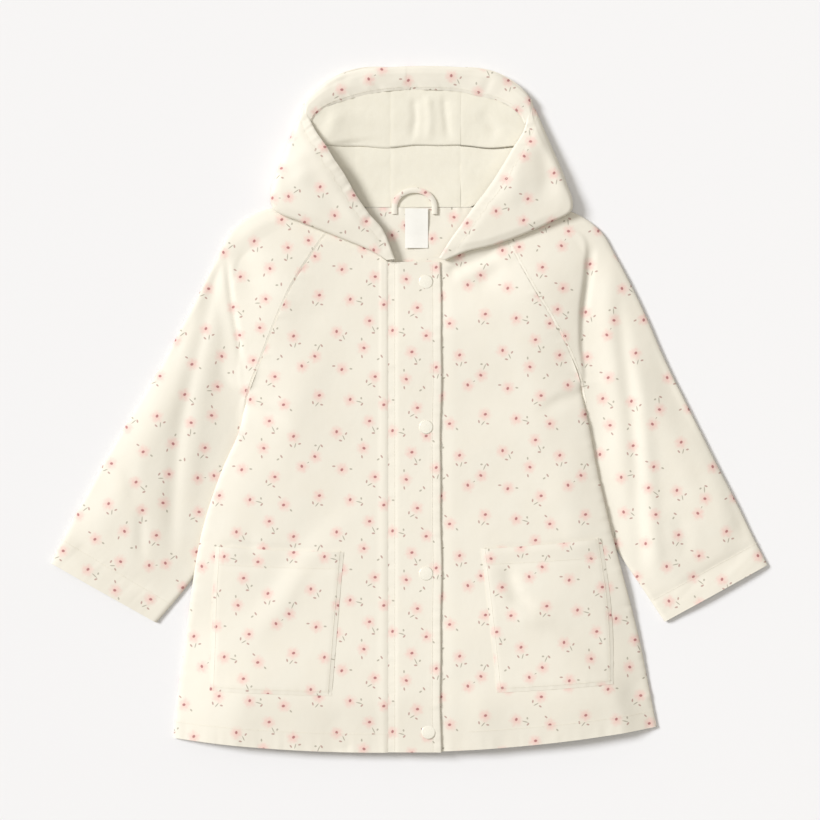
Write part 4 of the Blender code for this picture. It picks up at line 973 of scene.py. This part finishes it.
RIM_LEVEL = HoodLevel(0, 0, 8.2, 2.4, 8.4)
MOUTH_STITCHES = 9.0               # how far the stitching lies from the mouth's edge


def hood_row(plan, level, bow=0.0, under_rise=0.0):
    """One row of a hood side: sewn edge, under layer, fold, top layer, mouth's edge."""
    sewn, fold, mouth = plan[0:2], plan[2:4], plan[4:6]
    length = math.dist(sewn, fold)
    shares = np.linspace(0.0, 1.0, HOOD_UNDER)[:-1]
    places = shares * (length - level.radius) / length
    bulge = 4.0 * bow * places * (1.0 - places)
    across = np.array([fold[1] - sewn[1], sewn[0] - fold[0]]) / length
    across *= 1.0 if across[1] > 0.0 else -1.0
    heights = np.maximum(mix(level.sewn_z, level.low, shares ** 2), under_rise)
    under = between(sewn, fold, places, heights)
    under[:, 0] += across[0] * bulge
    under[:, 1] += across[1] * bulge
    turn = fold_over(sewn, fold, mouth, max(level.low, under_rise), level.high, level.radius)
    start = min(level.radius / math.dist(fold, mouth), 0.6)
    places = mix(start, 1.0, np.linspace(0.0, 1.0, HOOD_OVER)[1:])
    over = between(fold, mouth, places, mix(level.high, level.mouth_z, smooth(places)))
    return np.concatenate([under, turn, over])


def hood_grid(side, table, rim, creases, seed):
    """A hood side's points, with the creases on its upper layer and the faced mouth."""
    rows = [hood_row(plan, level) for plan, level in zip(table, HOOD_LEVELS)]
    for step in RIM_TURN:
        slide = step.inset * 0.55
        plan = HoodPlan(rim.centre_x, rim.centre_y - step.inset,
                        rim.fold_x + side * slide * 0.3, rim.fold_y - slide,
                        rim.mouth_x, rim.mouth_y - slide * 0.5)
        rows.append(hood_row(plan, RIM_LEVEL, rim.bow - step.inset * 0.3, step.rise))
    grid = draw_through(rows, HOOD_SPACING)
    over = grid[:, HOOD_FOLD:]
    x, y = over[..., 0], over[..., 1]
    from_mouth = np.hypot(x - x[:, -1:], y - y[:, -1:])
    width = from_mouth[:, :1]
    room = smooth(width / 30.0) * smooth((width - from_mouth) / 12.0)
    over[..., 2] += (creased(x, y, creases) + slack(x, y, seed, 0.45)) * room
    over[..., 2] += 1.3 * room * smooth(from_mouth / 16.0)
    over[..., 2] -= 0.22 * bell(from_mouth - MOUTH_STITCHES, 2.2) * smooth(width / 14.0)
    over[..., 2] -= 0.8 * np.clip(1.0 - from_mouth / 2.0, 0.0, 1.0) ** 2
    along = np.arange(grid.shape[0])[:, None] * HOOD_SPACING + 0.0 * x
    over[..., 2] += pucker(from_mouth, along, seed + 2, 0.25, 9.0) * smooth(width / 14.0)
    return grid


for node, side, table, rim, creases, turn, shift in (
    ("hood_side_right", -1, RIGHT_HOOD, RIGHT_RIM, RIGHT_HOOD_CREASES, -32.0, (18.0, 33.0)),
    ("hood_side_left", 1, LEFT_HOOD, LEFT_RIM, LEFT_HOOD_CREASES, 30.0, (61.0, 74.0)),
):
    points = grids[node] = hood_grid(side, table, rim, creases, 90 + 4 * side)
    uv = grain(points, turn, shift, HOOD_FOLD)
    hood_side = sewn_cloth(node + "_cloth", points, uv, 0.8, printed_cloth, -side)
    laid(node)

# the centre strip, from the neck seam to the rim
STRIP_NECK_Y, STRIP_RIM_Y, CROWN_Y = 181.8, 307.4, 308.7
STRIP_RIGHT_X, STRIP_LEFT_X = -17.7, 46.5
heights = [(mix(STRIP_NECK_Y, STRIP_RIM_Y - RIM_TURN[0].inset, share), 0.0)
           for share in (0, 0.25, 0.5, 0.75)]
heights += [(STRIP_RIM_Y - step.inset, step.rise) for step in RIM_TURN]
shares = np.linspace(0.0, 1.0, 24)
strip_rows = []
for strip_y, strip_z in heights:
    up = (strip_y - STRIP_NECK_Y) / (STRIP_RIM_Y - STRIP_NECK_Y)
    crown = 4.0 * (CROWN_Y - STRIP_RIM_Y) * shares * (1.0 - shares) * up
    strip_rows.append(points_of(mix(STRIP_RIGHT_X, STRIP_LEFT_X, shares), strip_y + crown,
                                strip_z))
strip_grid = draw_through(strip_rows, 2.4)
strip_grid[..., 2] = np.maximum(strip_grid[..., 2], 0.0)
hood_strip = sewn_cloth("hood_centre_cloth", strip_grid, grain(strip_grid, 0.0, (5.0, 8.0)), 0.8,
                        printed_cloth, -1)
laid("hood_centre")

# ======== the hood's facing
# A strip of the print cloth turned in all along the rim, in two lengths that meet beside
# the middle of the hood.  Its inner edge is sewn to the lining.
FacingRow = namedtuple("FacingRow", "rim_x rim_y inner_x inner_y")
RIGHT_FACING = [FacingRow(*row) for row in (
    (-94.6, 268, -89, 255), (-94, 275.5, -84.5, 264), (-88, 282.8, -76, 270.5),
    (-73, 295.4, -58, 277.5), (-45, 306.2, -34, 283.6), (-18, 307.6, -16.6, 286.2),
    (-2.8, 308.4, -2.8, 287.2),
)]
LEFT_FACING = [FacingRow(*row) for row in (
    (-2.8, 308.4, -2.8, 287.2), (20, 308.6, 20, 287), (46.4, 307.6, 46.4, 285.3),
    (66, 306, 62, 281.5), (88, 298, 81, 277), (102, 287.8, 92, 271), (109.6, 278.6, 100, 264),
    (111.6, 268, 104, 256),
)]
FACING_CREASES = [Crease(*row) for row in (
    ([(-76, 292), (-62, 294), (-50, 301)], -0.9, 3.5, 4.5, 0.3, 0.4),
    ([(-40, 300), (-36, 292), (-36, 284)], 0.5, 5, 5, 0.3, 0.3),
    ([(74, 300), (70, 290), (66, 282)], -0.7, 4, 5, 0.3, 0.3),
)]
FACING_HEIGHTS = np.array([
    (0.0, 6.6), (0.05, 7.7), (0.12, 8.4), (0.3, 8.8), (0.6, 8.0), (0.9, 6.9), (1.0, 6.1)])


def facing_grid(table, seed):
    """Points of a facing, drawn along the rim and then across from rim to lining."""
    edges = draw_through([((row.rim_x, row.rim_y), (row.inner_x, row.inner_y))
                          for row in table], 1.6)
    shares = np.linspace(0.0, 1.0, 22)[:, None] ** 1.25
    x = mix(edges[None, :, 0, 0], edges[None, :, 1, 0], shares)
    y = mix(edges[None, :, 0, 1], edges[None, :, 1, 1], shares)
    z = np.interp(shares, FACING_HEIGHTS[:, 0], FACING_HEIGHTS[:, 1]) + 0.0 * x
    z += creased(x, y, FACING_CREASES) + slack(x, y, seed, 0.4, 18.0, 50.0)
    z += 1.6 * smooth((np.abs(x - 7.0) - 52.0) / 45.0) * shares
    z += pucker((1.0 - shares) * 20.0, x + y, seed + 1, 0.3, 5.0)
    return points_of(x, y, z)


for node, table, shift, flat, area in (
    ("hood_facing_right", RIGHT_FACING, (30.0, 12.0), (0.100, 0.024), 0.0023),
    ("hood_facing_left", LEFT_FACING, (77.0, 40.0), (0.121, 0.025), 0.0028),
):
    points = grids[node] = facing_grid(table, 101 + len(node))
    facing = sewn_cloth(node + "_cloth", points, grain(points, 0.0, shift), 0.6,
                        printed_cloth, -1)
    laid(node)

# ======== the hood's lining
# Plain cotton in three panels, sewn to the facing and to the neck, and folded back on
# itself once across the hood.  None stands for the facing's edge.
LINING_PATH = [
    (None, 5.75), (262.0, 4.9), (251.0, 4.2), (240.0, 3.75), (236.8, 3.6), (235.8, 3.4),
    (236.6, 3.25), (240.0, 3.25), (250.0, 3.25), (250.7, 3.05), (250.0, 2.9), (234.0, 2.95),
    (208.0, 2.7), (181.9, 2.7),
]
LiningEdge = namedtuple("LiningEdge", "y right_x left_x")
LINING_EDGES = [LiningEdge(*row) for row in (
    (182.3, -40, 55), (197, -69, 90), (215, -92, 112), (235, -101, 117), (251, -97, 112),
    (262, -90, 106),
)]
LINING_CREASES = [Crease(*row) for row in (
    ([(4, 282), (6, 262), (2, 240)], -0.9, 3, 4, 0.2, 0.3),
    ([(16, 284), (19, 262), (17, 240)], 0.8, 4, 4, 0.2, 0.3),
    ([(31, 284), (33, 262), (36, 240)], -0.9, 4, 3, 0.2, 0.3),
    ([(-58, 276), (-62, 258), (-60, 238)], 1.5, 24, 12, 0.3, 0.1),
    ([(-62, 268), (-70, 254), (-74, 240)], 0.8, 6, 6, 0.3, 0.3),
    ([(64, 272), (72, 258), (80, 242)], -0.8, 6, 6, 0.3, 0.3),
)]
lining = Finish("plain_lining", 0.66)
place = lining.grain_place()
crinkle = lining.bump(lining.noise(place, 0.12, 3.0), 0.0008, 0.35)
lining.sets(
    Base_Color=lining.mix(lining.noise(place, 0.12, 4.0), shade(232, 227, 211),
                          shade(228, 222, 204)),
    Normal=lining.bump(weave(lining, place, 0.5), 0.00005, 0.5, crinkle),
    Sheen_Weight=0.12, Specular_IOR_Level=0.25)
LAP_Z, LOWER_Z = 3.32, 3.05        # the upper lap is above the first, the lower below both
LIFT_RIGHT, LIFT_LEFT, LIFT_WIDTH = 9.0, 3.0, 52.0     # up onto the hood's sides


def lining_grid(facing_rows, is_right_edge, is_left_edge, seed):
    """A lining panel's points, from the facing down to the neck seam."""
    seams = facing_rows[0].inner_x, facing_rows[-1].inner_x
    edge_y = [edge.y for edge in LINING_EDGES]
    steps = np.linspace(0.0, 1.0, 44)
    shares = np.linspace(0.0, 1.0, len(facing_rows))
    rows = []
    for y, height in LINING_PATH:
        if y is None:
            x = np.interp(steps, shares, [row.inner_x for row in facing_rows])
            ys = np.interp(steps, shares, [row.inner_y + 0.4 for row in facing_rows])
        else:
            low = (np.interp(y, edge_y, [edge.right_x for edge in LINING_EDGES])
                   if is_right_edge else seams[0])
            high = (np.interp(y, edge_y, [edge.left_x for edge in LINING_EDGES])
                    if is_left_edge else seams[1])
            x, ys = mix(low, high, steps), y
        rows.append(points_of(x, ys, height))
    grid = draw_through(rows, 1.9)
    x, y, z = grid[..., 0], grid[..., 1], grid[..., 2]
    is_lap = smooth((z - LAP_Z) / 0.25)
    from_right = 1.0 - smooth((x + 99.0) / LIFT_WIDTH)
    from_left = 1.0 - smooth((115.0 - x) / LIFT_WIDTH)
    rise = smooth((y - 184.0) / 40.0) * mix(1.0, 0.40, smooth((y - 226.0) / 34.0))
    grid[..., 2] += (LIFT_RIGHT * from_right + LIFT_LEFT * from_left) * rise
    grid[..., 2] += creased(x, y, LINING_CREASES) * is_lap
    lower = (1.0 - is_lap) * smooth((230.0 - y) / 15.0)
    grid[..., 2] += slack(x, y, seed, 0.30, 25.0, 80.0) * (lower + 0.7 * is_lap)
    # the lap's edge is not quite straight
    grid[..., 1] += (1.1 * np.sin(x / 17.0) + 0.6 * np.sin(x / 7.3 + 1.0)) * smooth(
        (244.0 - y) / 8.0) * smooth((z - LOWER_Z) / 0.2)
    for is_edge, from_seam in ((is_right_edge, x - x[:, :1]), (is_left_edge, x[:, -1:] - x)):
        if not is_edge:
            grid[..., 2] -= 0.15 * bell(from_seam, 1.6)
    return grid


for node, rows_used, is_right_edge, is_left_edge, flat, area in (
    ("hood_lining_right", RIGHT_FACING[1:6], True, False, (0.079, 0.140), 0.0090),
    ("hood_lining_centre", [RIGHT_FACING[5]] + LEFT_FACING[:3], False, False,
     (0.063, 0.140), 0.0086),
    ("hood_lining_left", LEFT_FACING[2:7], False, True, (0.067, 0.140), 0.0074),
):
    points = lining_grid(rows_used, is_right_edge, is_left_edge, 111 + len(node))
    uv = np.stack([points[..., 0], walked(points)], axis=-1)
    panel = sewn_cloth(node + "_cloth", points, uv, 0.2, lining.material, -1, 0.0)
    laid(node)

# ======== the neck
# The print cloth faces the inside of the back neck.  A narrow folded loop of it, to hang
# the coat by, is caught in the neck seam over a white satin label, which is left bare.
NECK_Y, FACING_DEPTH = 181.6, 62.0
down, across = np.linspace(0.0, 1.0, 34)[:, None], np.linspace(0.0, 1.0, 60)
neck_x = mix(mix(-50.0, -64.0, down), mix(61.0, 76.0, down), across)
neck_foot = NECK_Y - FACING_DEPTH * (0.45 + 0.55 * np.sin(math.pi * across))
neck_y = mix(NECK_Y, neck_foot, down)
neck_z = 3.0 + slack(neck_x, neck_y, 131, 0.35, 22.0, 60.0) + pucker(
    NECK_Y - neck_y, neck_x, 132, 0.25, 6.0)
neck_grid = points_of(neck_x, neck_y, neck_z)
neck_facing = sewn_cloth("neck_facing_cloth", neck_grid, grain(neck_grid, 0.0, (9.0, 62.0)),
                         0.6, printed_cloth, -1)
laid("neck_facing")

LOOP_X, LOOP_HALF, LOOP_REACH, LOOP_WIDTH, LOOP_LEG = 5.0, 18.0, 15.5, 5.0, 6.0
ON_FACING = 4.3        # the height of what lies on the neck facing
turns = np.concatenate([[0.0], np.linspace(0.0, math.pi, 40), [math.pi]])[:, None]
legs = np.concatenate([[LOOP_LEG], np.zeros(40), [LOOP_LEG]])[:, None]
across = np.linspace(-LOOP_WIDTH / 2, LOOP_WIDTH / 2, 9)
loop_x = LOOP_X - np.cos(turns) * (LOOP_HALF + across)
loop_y = NECK_Y - legs + np.sin(turns) * (LOOP_REACH + across)
# it is a tube pressed flat: high along its middle, low at its two edges
loop_crown = 0.55 * (1.0 - (2.0 * across / LOOP_WIDTH) ** 2)
loop_grid = points_of(loop_x, loop_y, ON_FACING + loop_crown + 0.5 * np.sin(turns))
hanger_loop = sewn_cloth("hanger_loop_cloth", loop_grid, grain(loop_grid, 40.0, (3.0, 5.0)), 1.0,
                         printed_cloth, -1)
laid("hanger_loop")

satin = Finish("white_satin", 0.34)
place = satin.object_place()
satin_threads = satin.node("ShaderNodeTexWave", {"Vector": place, "Scale": 700.0,
                                                 "Distortion": 1.5, "Detail": 2.0})
satin.sets(
    Base_Color=satin.mix(satin.noise(place, 90.0), shade(242, 240, 233), shade(233, 230, 221)),
    Normal=satin.bump(satin_threads.outputs["Fac"], 0.00005, 0.5), Anisotropic=0.35)
down, across = np.linspace(0.0, 1.0, 24)[:, None], np.linspace(0.0, 1.0, 16)
label_x = mix(-3.6, 17.1, across)
label_z = ON_FACING + 0.5 * np.sin(down * 7.0) * down + 0.35 * np.cos(label_x / 6.0)
label_grid = points_of(label_x, mix(180.6, 145.0, down), label_z)
label = sewn_cloth("satin_label", label_grid, grain(label_grid), 0.3, satin.material, -1)
laid("label")

# ======== the topstitching
# Cream thread holds every turned edge: the hems, both sides of the flap, the pockets, the
# raglan seams and the hood's mouth.  Each row is one line of short stitches on the cloth.
STITCH_PITCH, STITCH_LENGTH, THREAD_RADIUS = 3.1, 2.4, 0.2
HEM_ROW, CUFF_ROW = 7, 9           # which rows of the grids the hems' stitching follows


def inside(grid, edge, distance):
    """Points on a grid, this far in from its first or last column, along every row."""
    from_edge = np.linalg.norm(grid - grid[:, edge:edge + 1 or None], axis=-1)
    shift = -1 if edge else 1
    run = from_edge[:, ::shift][:, :40]
    column = np.argmax(run > distance, axis=1)
    return grid[np.arange(len(grid)), -1 - column if edge else column]


thread = Finish("cream_thread", 0.62)
place = thread.object_place()
thread.sets(
    Base_Color=thread.mix(thread.noise(place, 700.0), shade(232, 227, 213), shade(226, 219, 202)),
    Normal=thread.bump(thread.noise(place, 5200.0), 0.00008, 0.6))

stitch_rows = [right_grid[HEM_ROW, :-4], left_grid[HEM_ROW, 22:-4]]
for stitched_x in FLAP_STITCHES:
    stitch_rows.append(flap_grid[1:-1, np.argmin(np.abs(flap_columns - stitched_x))])
for node in ("pocket_right", "pocket_left"):
    points = grids[node]
    stitch_rows += [points[1:, 2], points[1:, -3], points[2, 2:-2], points[-9, 3:-3]]
for node, seam_row in (("sleeve_right", 88), ("sleeve_left", 80)):
    points = grids[node]
    stitch_rows += [points[CUFF_ROW, SLEEVE_UNDER + 6:-4], points[seam_row:-14, -5]]
for node in ("hood_side_right", "hood_side_left"):
    stitch_rows.append(inside(grids[node], -1, MOUTH_STITCHES)[8:-6])
for node in ("hood_facing_right", "hood_facing_left"):
    stitch_rows.append(grids[node][-3, 3:-3])

tree = bpy.data.node_groups.new("topstitching", "GeometryNodeTree")
tree.interface.new_socket("Rows", in_out="INPUT", socket_type="NodeSocketGeometry")
for name in ("Pitch", "Length", "Radius"):
    tree.interface.new_socket(name, in_out="INPUT", socket_type="NodeSocketFloat")
tree.interface.new_socket("Thread", in_out="INPUT", socket_type="NodeSocketMaterial")
tree.interface.new_socket("Stitches", in_out="OUTPUT", socket_type="NodeSocketGeometry")
steps = {word: tree.nodes.new(kind) for word, kind in (
    ("given", "NodeGroupInput"), ("line", "GeometryNodeMeshToCurve"),
    ("spaced", "GeometryNodeResampleCurve"), ("along", "GeometryNodeInputTangent"),
    ("turned", "FunctionNodeAlignRotationToVector"), ("stitch", "GeometryNodeMeshCylinder"),
    ("sewn", "GeometryNodeInstanceOnPoints"), ("real", "GeometryNodeRealizeInstances"),
    ("dyed", "GeometryNodeSetMaterial"), ("made", "NodeGroupOutput"))}
steps["spaced"].mode = "LENGTH"
steps["turned"].axis = "Z"
steps["stitch"].inputs["Vertices"].default_value = 6
for source, output, target, entry in (
    ("given", "Rows", "line", "Mesh"), ("line", "Curve", "spaced", "Curve"),
    ("given", "Pitch", "spaced", "Length"), ("along", "Tangent", "turned", "Vector"),
    ("given", "Length", "stitch", "Depth"), ("given", "Radius", "stitch", "Radius"),
    ("spaced", "Curve", "sewn", "Points"), ("stitch", "Mesh", "sewn", "Instance"),
    ("turned", "Rotation", "sewn", "Rotation"), ("sewn", "Instances", "real", "Geometry"),
    ("real", "Geometry", "dyed", "Geometry"), ("given", "Thread", "dyed", "Material"),
    ("dyed", "Geometry", "made", "Stitches"),
):
    tree.links.new(steps[source].outputs[output], steps[target].inputs[entry])

row_points, row_edges = [], []
for row in stitch_rows:
    first = len(row_points)
    row_points += ((row + [0.0, 0.0, 0.05]) * MM).tolist()
    row_edges += [(first + step, first + step + 1) for step in range(len(row) - 1)]
row_mesh = bpy.data.meshes.new("stitch_rows")
row_mesh.from_pydata(row_points, row_edges, [])
stitching = add_object("topstitching", row_mesh)
sewer = stitching.modifiers.new("Topstitching", "NODES")
sewer.node_group = tree
wanted = {"Pitch": STITCH_PITCH * MM, "Length": STITCH_LENGTH * MM, "Radius": THREAD_RADIUS * MM,
          "Thread": thread.material}
for socket in tree.interface.items_tree:
    if socket.name in wanted:
        sewer[socket.identifier] = wanted[socket.name]
ready = stitching.evaluated_get(bpy.context.evaluated_depsgraph_get())
stitching.data = bpy.data.meshes.new_from_object(ready)
stitching.modifiers.remove(sewer)
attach(stitching, "root")

# ======== the table, light and camera
# A plain pale table top.  A broad low light comes from the left, a little above the middle,
# and a large soft lamp overhead and the room fill the shade.  The camera looks straight down.
floor_mesh = bpy.data.meshes.new("table_top")
TABLE_HALF, TABLE_Z = 4.0, -0.0003
floor_mesh.from_pydata([(x * TABLE_HALF, y * TABLE_HALF, TABLE_Z)
                        for x, y in ((-1, -1), (1, -1), (1, 1), (-1, 1))], [], [(0, 1, 2, 3)])
paper = Finish("pale_paper", 0.9)
paper.sets(Base_Color=(0.822, 0.814, 0.811, 1.0), Specular_IOR_Level=0.1)
floor_mesh.materials.append(paper.material)
table_top = add_object("table_top", floor_mesh)


def light(name, kind, place, power, colour):
    """A light that looks at the middle of the coat."""
    data = bpy.data.lights.new(name, kind)
    data.energy = power
    data.color = colour
    made = add_object(name, data)
    made.location = place
    made.rotation_euler = made.location.to_track_quat("Z", "Y").to_euler()
    return data


light("low_window", "SUN", (-1.5, 0.68, 1.197), 3.13,
      (1.0, 1.016, 1.056)).angle = math.radians(20.0)
light("top_lamp", "AREA", (0.2, 0.3, 5.0), 58.0, (1.0, 0.98, 0.94)).size = 3.5
world = bpy.data.worlds.new("room")
world.use_nodes = True
sky = world.node_tree.nodes["Background"]
sky.inputs["Color"].default_value = (1.0, 0.965, 0.90, 1.0)
sky.inputs["Strength"].default_value = 0.35
bpy.context.scene.world = world
bpy.context.scene.view_settings.view_transform = "Standard"

camera_data = bpy.data.cameras.new("camera")
camera_data.sensor_width = 36.0
camera_data.lens = 116.8
camera_data.dof.use_dof = False
camera = add_object("camera", camera_data)
camera.location = (0.0009, -0.0009, 2.4)
bpy.context.scene.camera = camera
